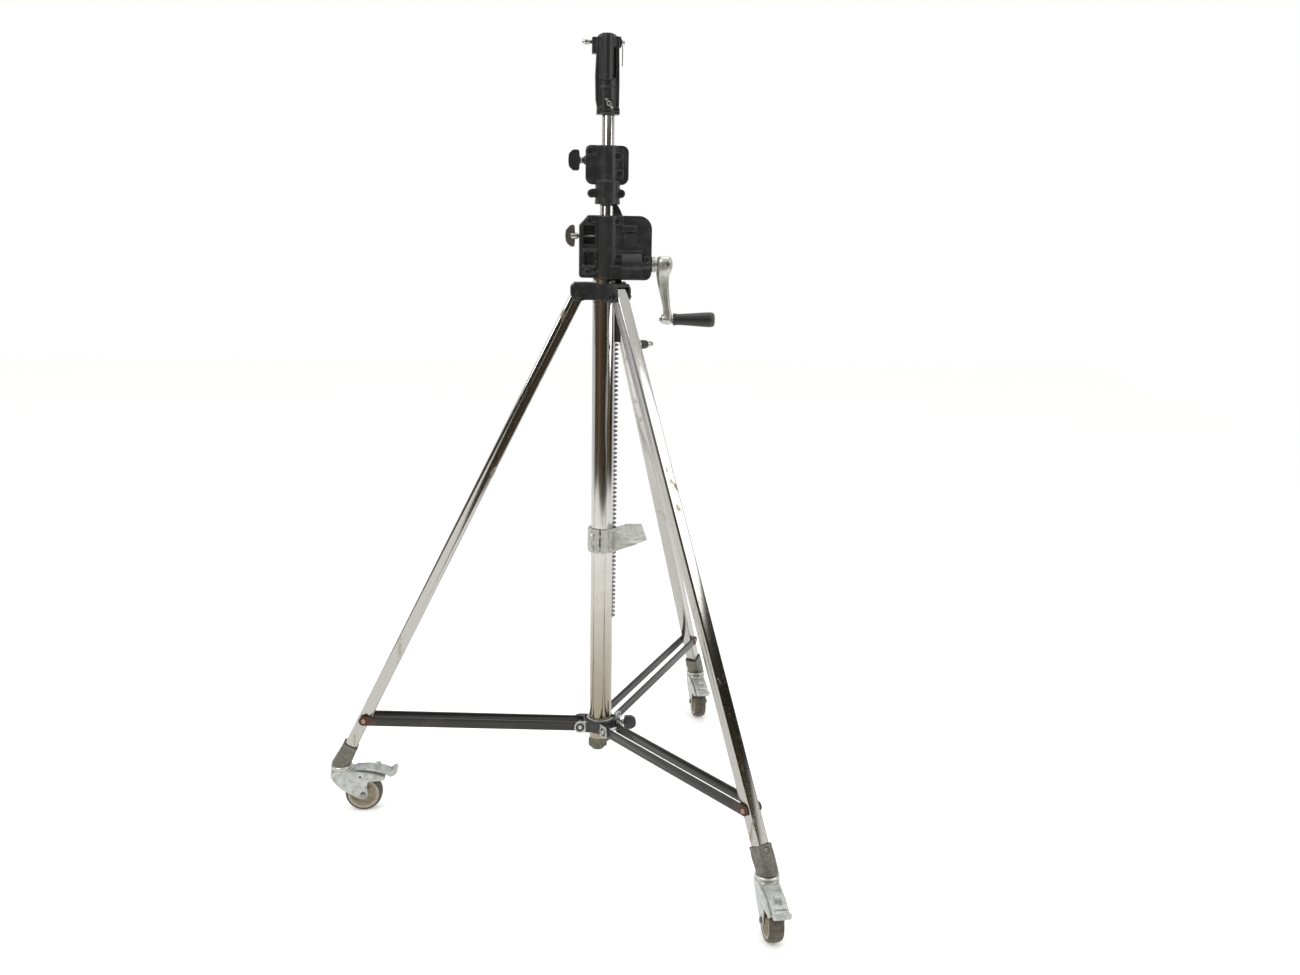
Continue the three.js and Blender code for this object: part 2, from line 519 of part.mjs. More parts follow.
// ---------------------------------------------------------------- foot step
function makeStep() {
  const { bottom, top, band, split } = STEP;
  const bore = [rodZ(COLUMN.outer + GAP, bottom - 1, top + 1),
    rackChannel(COLUMN.slotHalf, 15, 31.5, bottom - 1, top + 1)];
  const pad = [[54, 627], [91, 627], [91, 623], [84, 614], [56, 612]];
  const neck = hull([...[-26, 26].flatMap((y) => [point(22, y, bottom + 2), point(22, y, top)]),
    ...[-44, 44].flatMap((y) => [point(62, y, 604), point(84, y, 614), point(60, y, 622)])]);
  const ears = (x0, x1) => block(x0, x1, -37, 37, bottom + 2, top - 2);
  const stepSide = join(rodZ(band, bottom, top), ears(split, 16), neck, prismY(pad, -64, 64));
  const strapSide = join(rodZ(band, bottom, top), ears(-22, split));
  const slit = 2.5;                                                    // left open between the two halves
  const beyond = 60;
  const behindSplit = block(-beyond, split + GAP, -beyond, beyond, bottom - 5, top + 5);
  const aheadOfSplit = block(split - slit, beyond, -beyond, beyond, bottom - 5, top + 5);
  piece('foot_step', cut(stepSide, behindSplit, ...bore), CAST_ALLOY());
  piece('step_clamp', cut(strapSide, aheadOfSplit, ...bore), CAST_ALLOY());
}

// ---------------------------------------------------------------- legs
function makeLeg(azimuth, number) {
  const spoke = new THREE.Group();
  spoke.rotation.z = radians(azimuth);
  stand.add(spoke);

  const bolt = join(rodY(4, -22, 21, LEG.pivotR, LEG.pivotZ, SMALL_ROUND),
    rodY(7.5, -23.5, -18.2, LEG.pivotR, LEG.pivotZ, 12), rodY(7, 18.2, 24, LEG.pivotR, LEG.pivotZ, 6));
  piece(`leg_pivot_bolt_${number}`, bolt, BLACK_STEEL(), spoke);

  // the leg's own frame: its top pivot is the origin and -Z runs down the tube
  const leg = new THREE.Group();
  leg.position.set(LEG.pivotR, 0, LEG.pivotZ);
  leg.rotation.y = -radians(LEG.tilt);
  spoke.add(leg);
  const half = LEG.side / 2;
  const section = roundedRect(-half, half, -half, half, LEG.corner);
  const inside = half - LEG.wall;
  section.holes.push(roundedRect(-inside, inside, -inside, inside, LEG.corner - LEG.wall));
  const extrusion = { depth: LEG.length + LEG.above, bevelEnabled: false, curveSegments: 1 };
  const tube = solid(new THREE.ExtrudeGeometry(section, extrusion).translate(0, 0, -LEG.length));
  piece(`leg_tube_${number}`, cut(tube, rodY(4 + GAP, -20, 20, 0, 0, SMALL_ROUND),
    rodY(4 + GAP, -20, 20, 0, -LEG.pinAt, SMALL_ROUND)), CHROME(), leg);
  const pin = rodY(4, -half - 0.4, half + 0.4, 0, -LEG.pinAt, SMALL_ROUND);
  piece(`strut_pin_${number}`, pin, STEEL(), leg);

  // the foot casting is built upright in the spoke's frame: a sleeve on the tube, blended into a round base
  const tilt = radians(LEG.tilt);
  const alongLeg = (s, across, y) => point(LEG.pivotR + s * Math.sin(tilt) + across * Math.cos(tilt), y,
    LEG.pivotZ - s * Math.cos(tilt) + across * Math.sin(tilt));
  const corners = (s, reach) => [-reach, reach].flatMap((a) => [-reach, reach].map((y) => alongLeg(s, a, y)));
  const base = [CASTER.cupTop + 4.3, CASTER.cupTop + 10].flatMap(
    (z) => circlePoints(21, point(STEM_R, 0, z), point(0, 0, 1)));
  const foot = hull([...corners(1076, 16.5), ...corners(1100, 17.5), ...base]);
  const socket = hull([...corners(1060, half + GAP), ...corners(LEG.length + GAP, half + GAP)]);
  const stemHole = rodZ(6.4, 100, 118.5, STEM_R, 0, SMALL_ROUND);
  piece(`leg_foot_${number}`, cut(foot, socket, stemHole), ZINC(), spoke);
}

// two flat bars, one each side of the leg, from the hub to the leg
function makeStruts(azimuth, number) {
  const spoke = new THREE.Group();
  spoke.rotation.z = radians(azimuth);
  stand.add(spoke);
  const strut = new THREE.Group();
  strut.position.set(HUB.pivotR, 0, HUB.pivotZ);
  strut.rotation.y = -radians(STRUT.lift);
  spoke.add(strut);
  const end = STRUT.height / 2;
  for (const [side, near, far] of [['right', -STRUT.far, -STRUT.near], ['left', STRUT.near, STRUT.far]]) {
    const rivet = 3 * Math.sign(near);                                 // its head stands out of the bar
    const bar = join(block(0, STRUT.length, near, far, -end, end),
      rodY(end, near, far, 0, 0, SMALL_ROUND),
      rodY(end, near, far, STRUT.length, 0, SMALL_ROUND),
      rodY(6, near + Math.min(0, rivet), far + Math.max(0, rivet), STRUT.length, 0, SMALL_ROUND));
    const hole = rodY(4 + GAP, near - 1, far + 1, 0, 0, SMALL_ROUND);
    piece(`strut_${side}_${number}`, cut(bar, hole), BLACK_STEEL(), strut);
  }
}

// ---------------------------------------------------------------- casters
// a caster's own frame: the swivel axis is Z, the wheel trails towards +X, the floor is z = 0
function makeCaster(azimuth, heading, number) {
  const { wheelR, trail, tyreHalf, plateIn, plateOut, cupR, cupTop, axleR } = CASTER;
  const caster = new THREE.Group();
  caster.position.set(STEM_R * Math.cos(radians(azimuth)), STEM_R * Math.sin(radians(azimuth)), 0);
  caster.rotation.z = radians(heading);
  stand.add(caster);

  const plate = [[-22, 96], [28, 96], [60, 92], [97, 80], [91, 72], [56, 70], [54.5, 60], [56, 42], [52, 33],
    [45, 30], [35, 33], [-2, 55], [-17, 75], [-22, 88]];
  const hollow = [[-30, 84], [28, 91], [59, 88], [110, 71], [110, 0], [-30, 0]];
  const cup = [[0, 84], [cupR - 5, 84], [cupR, 90], [cupR, 96], [cupR - 3, cupTop], [0, cupTop]];
  const stem = rodZ(6, cupTop - 5, 117.5, 0, 0, SMALL_ROUND);
  const fork = cut(join(prismY(plate, -plateOut, plateOut), turned(cup), stem),
    prismY(hollow, -plateIn, plateIn), rodY(axleR + GAP, -30, 30, trail, wheelR, SMALL_ROUND));
  piece(`caster_fork_${number}`, fork, ZINC(), caster);

  const seam = 31;                                                     // radius where core and tyre meet
  const core = [[axleR + GAP, -15], [10, -15], [11, -8], [25, -8], [seam, -12], [seam, 12], [25, 8], [11, 8],
    [10, 15], [axleR + GAP, 15], [axleR + GAP, -15]];
  piece(`caster_wheel_${number}`, turnedY(core, trail, wheelR), WHEEL_PLASTIC(), caster);
  const tyre = [[seam + GAP, -tyreHalf + 1.5], [35, -tyreHalf], [38.5, -tyreHalf + 3.5], [wheelR, -6],
    [wheelR, 6], [38.5, tyreHalf - 3.5], [35, tyreHalf], [seam + GAP, tyreHalf - 1.5],
    [seam + GAP, -tyreHalf + 1.5]];
  piece(`caster_tyre_${number}`, turnedY(tyre, trail, wheelR), RUBBER(), caster);
  const axle = join(rodY(axleR, -23, 23, trail, wheelR, SMALL_ROUND), rodY(6.5, -24, -19.8, trail, wheelR, 6),
    rodY(6.5, 19.8, 24, trail, wheelR, 6));
  piece(`caster_axle_${number}`, axle, STEEL(), caster);

  const lever = [[30, 98], [54, 97], [72, 93], [90, 86], [99, 82], [105, 78], [113, 82], [121, 90], [119, 98],
    [112, 95], [105, 89], [92, 96], [73, 101.5], [54, 104], [30, 104]];
  const pedal = join(prismY(lever, -15, 15), block(74, 84, -7, 7, 95, 108));
  piece(`brake_pedal_${number}`, pedal, ZINC(), caster);
}

makeColumn();
makeRackGuard();
makeYoke();
makeGearbox();
makeRack();
makeGears();
makeWorm();
makeCrank();
makeRisers();
makeCollar();
makeSocket();
makeHandScrews();
makeHub();
makeStep();
LEG_AZIMUTHS.forEach((azimuth, i) => {
  makeLeg(azimuth, i + 1);
  makeStruts(azimuth, i + 1);
  makeCaster(azimuth, CASTER_HEADINGS[i], i + 1);
});

export default stand;
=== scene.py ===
"""Crank lighting stand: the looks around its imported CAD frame.

Shapes are given in millimetres in the stand's own frame (+Z up the column) and become metres in build().
Every casting is a union of simple solids, cut, then remeshed fine and smoothed so that its edges are soft.
"""

import json
import math

import bmesh
import bpy
from mathutils import Matrix, Vector


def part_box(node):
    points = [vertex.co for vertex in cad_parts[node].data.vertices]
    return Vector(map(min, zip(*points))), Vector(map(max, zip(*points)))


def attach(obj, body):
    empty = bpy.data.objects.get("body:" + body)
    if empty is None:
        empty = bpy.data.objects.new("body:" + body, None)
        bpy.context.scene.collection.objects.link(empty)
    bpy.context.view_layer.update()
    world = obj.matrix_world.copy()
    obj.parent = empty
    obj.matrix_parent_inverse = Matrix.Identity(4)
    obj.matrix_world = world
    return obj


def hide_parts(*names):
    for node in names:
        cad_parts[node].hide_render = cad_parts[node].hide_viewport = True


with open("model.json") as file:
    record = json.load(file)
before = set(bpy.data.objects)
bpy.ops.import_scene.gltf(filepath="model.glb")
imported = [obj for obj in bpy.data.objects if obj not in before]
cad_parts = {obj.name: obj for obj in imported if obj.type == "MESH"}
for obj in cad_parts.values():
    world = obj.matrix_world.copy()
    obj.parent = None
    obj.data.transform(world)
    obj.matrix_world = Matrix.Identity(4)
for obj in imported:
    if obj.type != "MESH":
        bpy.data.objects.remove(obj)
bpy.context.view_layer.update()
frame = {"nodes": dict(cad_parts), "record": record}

MM = 0.001
JOINTS = {joint["name"]: joint for joint in frame["record"]["behaviour"]["joints"]}


def extent(node):
    """Lowest and highest corners of a CAD node in millimetres."""
    low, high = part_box(node)
    return low / MM, high / MM


def joint_at(name):
    return Vector(JOINTS[name]["pos_m"]) / MM


# ---------------------------------------------------------------- dimensions, taken from the frame
COLUMN_LOW, COLUMN_HIGH = extent("column_tube")
COLUMN_R = COLUMN_HIGH.x
COLUMN_WALL, RISER_WALL = 2.0, 1.8
SLOT_HALF, SLOT_BOTTOM = 6.5, 400.0
RISER_1_LOW, RISER_1_HIGH = extent("riser_1_tube")
RISER_2_LOW, RISER_2_HIGH = extent("riser_2_tube")
RISER_1_R = (RISER_1_HIGH.x - RISER_1_LOW.x) / 2
RISER_2_R = (RISER_2_HIGH.x - RISER_2_LOW.x) / 2
RISER_X = (RISER_1_LOW.x + RISER_1_HIGH.x) / 2
CRANK_AXIS = joint_at("crank_turn")
GEAR_AXIS = joint_at("gear_turn")
GRIP_AXIS = joint_at("crank_grip_spin")
LOCK_Z = joint_at("gearbox_knob_turn").z
COLLAR_LOCK_Z = joint_at("collar_knob_turn").z
WING_AXIS = joint_at("socket_wing_turn")
HUB_LOCK = joint_at("hub_knob_turn")
PIN_Z = sum(v.z for v in extent("socket_cross_pin")) / 2
LEG_TILT = math.radians(26.56)
LEG_SIDE = 26.0
LEG_LENGTH, LEG_ABOVE, STRUT_PIN_AT = 1118.0, 11.0, 1019.7
STRUT_LIFT, STRUT_LENGTH = math.radians(2.94), 466.1
STRUT_NEAR, STRUT_FAR = 14.0, 19.0            # a strut bar's faces, from the leg's middle plane
WHEEL_R = joint_at("wheel_1_roll").z
NUMBERS = (1, 2, 3)

# ---------------------------------------------------------------- shapes


def spin(degrees, axis):
    return Matrix.Rotation(math.radians(degrees), 4, axis)


def angles(count):
    """The directions of count points spaced evenly round a circle."""
    return [2 * math.pi * k / count for k in range(count)]


class Shape:
    """Points in millimetres and the faces between them."""

    def __init__(self, points, faces):
        self.points = [Vector(p) for p in points]
        self.faces = [tuple(f) for f in faces]

    def __add__(self, other):
        first = len(self.points)
        moved = [tuple(i + first for i in f) for f in other.faces]
        return Shape(self.points + other.points, self.faces + moved)

    def turned(self, matrix):
        return Shape([matrix @ p for p in self.points], self.faces)

    def moved(self, x=0.0, y=0.0, z=0.0):
        return self.turned(Matrix.Translation((x, y, z)))


def all_turned(shapes, matrix):
    return [shape.turned(matrix) for shape in shapes]


def together(shapes):
    whole = shapes[0]
    for shape in shapes[1:]:
        whole = whole + shape
    return whole


def loft(rings, closed=False):
    """Rings with the same number of points, joined in order; the ends are capped unless the loft closes."""
    count = len(rings[0])
    points = [p for ring in rings for p in ring]
    faces = []
    steps = len(rings) if closed else len(rings) - 1
    for r in range(steps):
        a, b = r * count, (r + 1) % len(rings) * count
        faces += [(a + i, a + (i + 1) % count, b + (i + 1) % count, b + i) for i in range(count)]
    if not closed:
        faces += [tuple(range(count)), tuple(range((len(rings) - 1) * count, len(rings) * count))]
    return Shape(points, faces)


def lathe(profile, sides=64):
    """(radius, height) points turned about Z; a profile that doesn't start on the axis closes on itself."""
    on_axis = profile[0][0] == 0
    inner = profile[1:-1] if on_axis else profile
    rings = [[Vector((r * math.cos(a), r * math.sin(a), h)) for a in angles(sides)] for r, h in inner]
    return loft(rings, closed=not on_axis)


def prism(outline, low, high):
    """An outline of (x, z) points pushed along Y from low to high."""
    return loft([[Vector((x, y, z)) for x, z in outline] for y in (low, high)])


def prism_z(outline, low, high):
    return loft([[Vector((x, y, z)) for x, y in outline] for z in (low, high)])


def box(x0, x1, y0, y1, z0, z1):
    return prism([(x0, z0), (x1, z0), (x1, z1), (x0, z1)], y0, y1)


def towards(start, end):
    """Puts Z's own line on the line from start to end, with its origin at start."""
    start, end = Vector(start), Vector(end)
    turn = Vector((0, 0, 1)).rotation_difference((end - start).normalized())
    return Matrix.Translation(start) @ turn.to_matrix().to_4x4()


def rod(radius, start, end, chamfer=0.0, sides=48):
    long = (Vector(end) - Vector(start)).length
    profile = [(0, 0), (radius - chamfer, 0)]
    if chamfer:
        profile += [(radius, chamfer), (radius, long - chamfer)]
    profile += [(radius - chamfer, long), (0, long)]
    return lathe(profile, sides).turned(towards(start, end))


def rod_x(radius, x0, x1, y, z, chamfer=0.0):
    return rod(radius, (x0, y, z), (x1, y, z), chamfer)


def rod_y(radius, y0, y1, x, z, chamfer=0.0):
    return rod(radius, (x, y0, z), (x, y1, z), chamfer)


def rod_z(radius, z0, z1, x=0.0, y=0.0, chamfer=0.0):
    return rod(radius, (x, y, z0), (x, y, z1), chamfer, sides=64)


def filleted(corners, steps=6):
    """An outline from (a, b, radius) corners: each is rounded by its radius."""
    outline = []
    for i, (a, b, radius) in enumerate(corners):
        here = Vector((a, b))
        back = Vector(corners[i - 1][:2]) - here
        ahead = Vector(corners[(i + 1) % len(corners)][:2]) - here
        half = back.angle(ahead) / 2
        if radius == 0 or half > math.radians(89):
            outline.append(here)
            continue
        reach = min(radius / math.tan(half), 0.49 * back.length, 0.49 * ahead.length)
        back.normalize()
        ahead.normalize()
        centre = here + (back + ahead).normalized() * (reach / math.cos(half))
        u, v = here + back * reach - centre, here + ahead * reach - centre
        sweep = u.angle(v)
        for k in range(steps + 1):
            t = k / steps
            bent = u * math.sin((1 - t) * sweep) + v * math.sin(t * sweep)
            outline.append(centre + bent / math.sin(sweep))
    return outline


def curve_through(points, steps=6):
    """A smooth line through every point (Catmull-Rom)."""
    points = [Vector(p) for p in points]
    last = len(points) - 1
    line = []
    for i in range(last):
        p0, p1, p2, p3 = (points[min(max(k, 0), last)] for k in (i - 1, i, i + 1, i + 2))
        for k in range(steps):
            t = k / steps
            line.append(0.5 * (2 * p1 + (p2 - p0) * t + (2 * p0 - 5 * p1 + 4 * p2 - p3) * t ** 2
                               + (3 * p1 - p0 - 3 * p2 + p3) * t ** 3))
    line.append(points[-1])
    return line


def wire(points, radius, sides=12, steps=8):
    """A round wire along a smooth line."""
    line = curve_through(points, steps)
    rings = []
    side = None
    for i, p in enumerate(line):
        ahead = (line[min(i + 1, len(line) - 1)] - line[max(i - 1, 0)]).normalized()
        side = ahead.orthogonal() if side is None else side - ahead * side.dot(ahead)
        side.normalize()
        up = ahead.cross(side)
        rings.append([p + radius * (math.cos(a) * side + math.sin(a) * up) for a in angles(sides)])
    return loft(rings)


def hex_bolt(radius, height, socket=False):
    """A bolt head on Z = 0: a domed hexagon, or a round head with a hexagon socket."""
    if not socket:
        flat = [(radius * math.cos(a), radius * math.sin(a)) for a in angles(6)]
        rim, under, over = radius * 1.25, height * 0.25, height * 1.08
        washer = lathe([(0, 0), (rim, 0), (rim, under), (0, under)], 40)
        top = lathe([(0, height), (radius * 0.8, height), (radius * 0.7, over), (0, over)], 40)
        return washer + prism_z(flat, height * 0.2, height) + top
    head = [(0, 0), (radius, 0), (radius, height * 0.75), (radius * 0.9, height), (radius * 0.55, height),
            (radius * 0.5, height * 0.9)]
    return lathe(head + [(radius * 0.5, height * 0.35), (0, height * 0.35)], 36)


# ---------------------------------------------------------------- pieces
def mesh_of(name, shape):
    mesh = bpy.data.meshes.new(name)
    mesh.from_pydata([p * MM for p in shape.points], [], shape.faces)
    work = bmesh.new()
    work.from_mesh(mesh)
    bmesh.ops.recalc_face_normals(work, faces=work.faces)
    work.to_mesh(mesh)
    work.free()
    obj = bpy.data.objects.new(name, mesh)
    bpy.context.scene.collection.objects.link(obj)
    return obj


def add(obj, kind, **settings):
    modifier = obj.modifiers.new(kind, kind)
    for key, value in settings.items():
        setattr(modifier, key, value)
    return modifier


def apply_all(obj):
    """Replaces the mesh by what its modifiers make of it."""
    graph = bpy.context.evaluated_depsgraph_get()
    made = bpy.data.meshes.new_from_object(obj.evaluated_get(graph))
    obj.modifiers.clear()
    obj.data = made


def build(name, body, look, shapes, cuts=(), replaces=(), voxel=0.0, soften=4, bevel=0.0,
          sharp=32):
    """One visible piece from overlapping solids: joined, cut, and either remeshed soft or bevelled."""
    obj = mesh_of(name, together(list(shapes)))
    cutters = [mesh_of(name + "_cutter", cut) for cut in cuts]
    for cutter in cutters:                    # the first cut also resolves the piece's own overlaps
        add(obj, "BOOLEAN", operation="DIFFERENCE", object=cutter, solver="EXACT",
            use_self=cutter is cutters[0])
    if cutters:
        apply_all(obj)
    for cutter in cutters:
        bpy.data.objects.remove(cutter)
    if voxel:
        add(obj, "REMESH", mode="VOXEL", voxel_size=voxel * MM, adaptivity=0.0)
        add(obj, "SMOOTH", factor=0.5, iterations=soften)
    elif bevel:
        add(obj, "WELD", merge_threshold=0.01 * MM)
        add(obj, "BEVEL", width=bevel * MM, segments=2, limit_method="ANGLE", angle_limit=math.radians(28))
    apply_all(obj)
    obj.data.shade_smooth()
    if not voxel:
        obj.data.set_sharp_from_angle(angle=math.radians(sharp))
    obj.data.materials.clear()
    obj.data.materials.append(look)
    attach(obj, body)
    if replaces:
        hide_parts(*replaces)
    return obj


# ---------------------------------------------------------------- materials
class Nodes:
    """A material's node tree and the few node patterns that all materials here share."""

    def __init__(self, name):
        self.material = bpy.data.materials.new(name)
        self.material.use_nodes = True
        self.tree = self.material.node_tree
        self.shader = self.tree.nodes["Principled BSDF"]
        self.place = self.node("TexCoord").outputs["Object"]

    def node(self, kind, inputs=None, **settings):
        made = self.tree.nodes.new("ShaderNode" + kind)
        for key, value in settings.items():
            setattr(made, key, value)
        for key, value in (inputs or {}).items():
            self.plug(made.inputs[key], value)
        return made

    def plug(self, socket, value):
        if isinstance(value, bpy.types.NodeSocket):
            self.tree.links.new(value, socket)
        else:
            socket.default_value = value

    def noise(self, size, detail=4.0, roughness=0.55, stretch=(1, 1, 1)):
        """Noise whose features are about size millimetres across, longer along a stretched axis."""
        scale = [1 / (size * MM * s) for s in stretch]
        mapped = self.node("Mapping", {"Vector": self.place, "Scale": scale}).outputs[0]
        inputs = {"Vector": mapped, "Scale": 1.0, "Detail": detail, "Roughness": roughness}
        return self.node("TexNoise", inputs).outputs[0]

    def ramp(self, value, low, high):
        """0 below low, 1 above high, smooth between."""
        inputs = {"Value": value, "From Min": low, "From Max": high}
        return self.node("MapRange", inputs, interpolation_type="SMOOTHSTEP").outputs[0]

    def maths(self, operation, a, b):
        return self.node("Math", {0: a, 1: b}, operation=operation).outputs[0]

    def between(self, low, high, value):
        inputs = {"Value": value, "To Min": low, "To Max": high}
        return self.node("MapRange", inputs).outputs[0]

    def mix(self, amount, a, b):
        made = self.node("Mix", {0: amount}, data_type="RGBA")
        self.plug(made.inputs[6], a if isinstance(a, bpy.types.NodeSocket) else (*a, 1))
        self.plug(made.inputs[7], b if isinstance(b, bpy.types.NodeSocket) else (*b, 1))
        return made.outputs[2]

    def edges(self, low=0.53, high=0.62):
        """1 on outward edges, for wear."""
        return self.ramp(self.node("NewGeometry").outputs["Pointiness"], low, high)

    def axis(self, which):
        return self.node("SeparateXYZ", {0: self.place}).outputs[which]

    def bump(self, height, distance, strength=1.0):
        inputs = {"Height": height, "Distance": distance * MM, "Strength": strength}
        self.plug(self.shader.inputs["Normal"], self.node("Bump", inputs).outputs[0])

    def finish(self, colour, roughness, metallic):
        self.plug(self.shader.inputs["Base Color"], colour if isinstance(colour, bpy.types.NodeSocket)
                  else (*colour, 1))
        self.plug(self.shader.inputs["Roughness"], roughness)
        self.plug(self.shader.inputs["Metallic"], metallic)
        return self.material


def chrome_look(name, dirt, speckle, low_colour, low_colour_below, bright_above):
    """Old chrome plate: a darker colour towards the bottom, dull patches, stains and pits, with scratches
    along Z.
    """
    n = Nodes(name)
    stains = n.ramp(n.noise(34, 6, 0.65, (1, 1, 3)), 0.74 - dirt, 0.86 - dirt)
    specks = n.ramp(n.noise(3.2, 3, 0.6), 0.80 - speckle, 0.86 - speckle)
    scratches = n.noise(1.2, 2, 0.5, (1, 1, 40))
    bright = n.mix(n.noise(60, 2), (0.50, 0.495, 0.47), (0.61, 0.605, 0.59))
    # a darker colour below a given height, mixed in by height alone
    height = n.maths("ADD", n.axis(2), n.between(-0.06, 0.06, n.noise(40, 5, 0.6, (1, 1, 0.4))))
    clean = n.mix(n.ramp(height, low_colour_below, bright_above), low_colour, bright)
    soiled = n.mix(stains, clean, (0.30, 0.25, 0.18))
    colour = n.mix(specks, soiled, (0.14, 0.09, 0.05))
    dull = n.maths("MAXIMUM", n.between(0.0, 0.45, stains), n.between(0.0, 0.6, specks))
    roughness = n.maths("ADD", n.between(0.07, 0.20, scratches), dull)
    n.bump(n.maths("ADD", n.between(0, 0.3, scratches), n.between(0.7, 0.0, specks)), 0.03, 0.5)
    return n.finish(colour, roughness, n.between(1.0, 0.55, specks))


def black_casting_look():
    """Satin powder coat on a casting: fine pimples, rubbed grey on the edges, some dust."""
    n = Nodes("black_powder_coat")
    rubbed = n.maths("MULTIPLY", n.edges(0.52, 0.60), n.ramp(n.noise(9, 4), 0.35, 0.75))
    dust = n.ramp(n.noise(22, 5, 0.6), 0.45, 0.8)
    coat = n.mix(dust, (0.020, 0.021, 0.022), (0.036, 0.037, 0.038))
    colour = n.mix(rubbed, coat, (0.17, 0.17, 0.165))
    n.bump(n.noise(0.9, 3, 0.6), 0.10, 0.45)
    return n.finish(colour, n.between(0.36, 0.56, dust), 0.0)


def black_steel_look():
    """Thin black finish on bar steel: brown where it's rubbed, rust towards the outer ends."""
    n = Nodes("black_bar_steel")
    x, y = n.axis(0), n.axis(1)
    outward = n.maths("SQRT", n.maths("ADD", n.maths("MULTIPLY", x, x), n.maths("MULTIPLY", y, y)), 0.0)
    ragged = n.maths("ADD", outward, n.between(-0.035, 0.035, n.noise(16, 5, 0.65)))
    rust = n.ramp(ragged, 0.478, 0.512)
    browned = n.ramp(n.noise(48, 6, 0.62), 0.52, 0.75)
    coat = n.mix(browned, (0.026, 0.027, 0.026), (0.058, 0.045, 0.036))
    rust_colour = n.mix(n.noise(5, 5, 0.7), (0.135, 0.055, 0.030), (0.060, 0.036, 0.026))
    colour = n.mix(rust, coat, rust_colour)
    n.bump(n.noise(1.6, 4, 0.65), 0.12, 0.5)
    roughness = n.maths("MAXIMUM", n.between(0.34, 0.5, browned), n.between(0.0, 0.85, rust))
    return n.finish(colour, roughness, 0.35)


def metal_look(name, light, dark, rough, metallic, grain=1.5, patch=14, stain=None):
    """Cast or plated metal: cloudy patches of two tones, fine grain, grime and stains."""
    n = Nodes(name)
    clouds = n.noise(patch, 6, 0.62)
    colour = n.mix(n.ramp(clouds, 0.35, 0.68), light, dark)
    colour = n.mix(n.maths("MULTIPLY", n.edges(), 0.6), colour, [min(1.0, c * 1.35) for c in light])
    if stain:
        colour = n.mix(n.ramp(n.noise(11, 6, 0.7), 0.51, 0.71), colour, stain)
    n.bump(n.noise(grain, 3, 0.6), 0.12, 0.4)
    return n.finish(colour, n.between(rough - 0.08, rough + 0.14, clouds), metallic)


def soft_look(name, light, dark, rough, grain=1.2, patch=12, stain=None, stained=0.1):
    """Rubber or plastic: two close tones, fine grain and worn-in dirt."""
    n = Nodes(name)
    clouds = n.noise(patch, 5, 0.6)
    colour = n.mix(n.ramp(clouds, 0.35, 0.7), light, dark)
    if stain:
        colour = n.mix(n.ramp(n.noise(13, 6, 0.68), 0.64 - stained, 0.84 - stained), colour, stain)
    n.bump(n.noise(grain, 4, 0.6), 0.15, 0.4)
    return n.finish(colour, n.between(rough - 0.06, rough + 0.1, clouds), 0.0)


def grip_look():
    """Black rubber, rubbed pale grey towards its outer end."""
    n = Nodes("grip_rubber_worn")
    along = n.maths("ADD", n.axis(0), n.between(-0.012, 0.012, n.noise(8, 5, 0.7)))
    worn = n.ramp(along, 0.211, 0.231)
    base = n.mix(n.noise(9, 4), (0.010, 0.010, 0.010), (0.022, 0.022, 0.020))
    colour = n.mix(worn, base, (0.15, 0.145, 0.13))
    n.bump(n.noise(1.1, 4, 0.6), 0.15, 0.5)
    return n.finish(colour, n.between(0.45, 0.8, worn), 0.0)


CHROME = chrome_look("chrome_tube_worn", 0.10, 0.06, (0.30, 0.265, 0.20), 0.20, 0.70)
CHROME_LEG = chrome_look("chrome_leg_worn", 0.14, 0.15, (0.41, 0.40, 0.375), 0.45, 1.10)
CHROME_SMALL = metal_look("chrome_small_parts", (0.56, 0.56, 0.54), (0.36, 0.355, 0.33), 0.28, 1.0, 2.5, 6)
BLACK = black_casting_look()
BLACK_STEEL = black_steel_look()
BLACK_BOLT = metal_look("black_bolt", (0.035, 0.035, 0.036), (0.016, 0.016, 0.016), 0.42, 0.3, 1.0, 5)
ALLOY = metal_look("cast_alloy_grey", (0.56, 0.57, 0.52), (0.43, 0.44, 0.40), 0.46, 0.35, 1.6, 18,
                   stain=(0.25, 0.24, 0.21))
POLISHED = metal_look("polished_alloy", (0.60, 0.61, 0.56), (0.46, 0.47, 0.43), 0.30, 0.75, 2.0, 16)
ZINC = metal_look("zinc_plate_dull", (0.54, 0.56, 0.54), (0.42, 0.43, 0.41), 0.42, 0.55, 1.2, 12,
                  stain=(0.22, 0.20, 0.16))
FOOT = metal_look("foot_casting_grey", (0.20, 0.195, 0.165), (0.13, 0.125, 0.105), 0.5, 0.4, 1.4, 9,
                  stain=(0.14, 0.13, 0.10))
STEEL = metal_look("machined_steel_greased", (0.34, 0.34, 0.33), (0.20, 0.19, 0.18), 0.35, 1.0, 1.5, 8,
                   stain=(0.08, 0.07, 0.05))
BRONZE = metal_look("bronze_gear", (0.62, 0.44, 0.22), (0.45, 0.30, 0.14), 0.32, 1.0, 1.2, 9)
NYLON = soft_look("nylon_bush", (0.70, 0.68, 0.60), (0.58, 0.55, 0.47), 0.5)
PLUG = soft_look("plug_grey_green", (0.17, 0.17, 0.12), (0.10, 0.10, 0.07), 0.65, 1.5, 7)
CREAM = soft_look("threaded_boss_cream", (0.46, 0.43, 0.33), (0.33, 0.31, 0.23), 0.5)
TYRE = soft_look("tyre_rubber_worn", (0.120, 0.104, 0.080), (0.066, 0.058, 0.046), 0.72, 0.9, 12,
                 stain=(0.15, 0.135, 0.11))
RING = soft_look("tyre_ring_pale", (0.44, 0.42, 0.35), (0.33, 0.31, 0.26), 0.6, 1.2, 8)
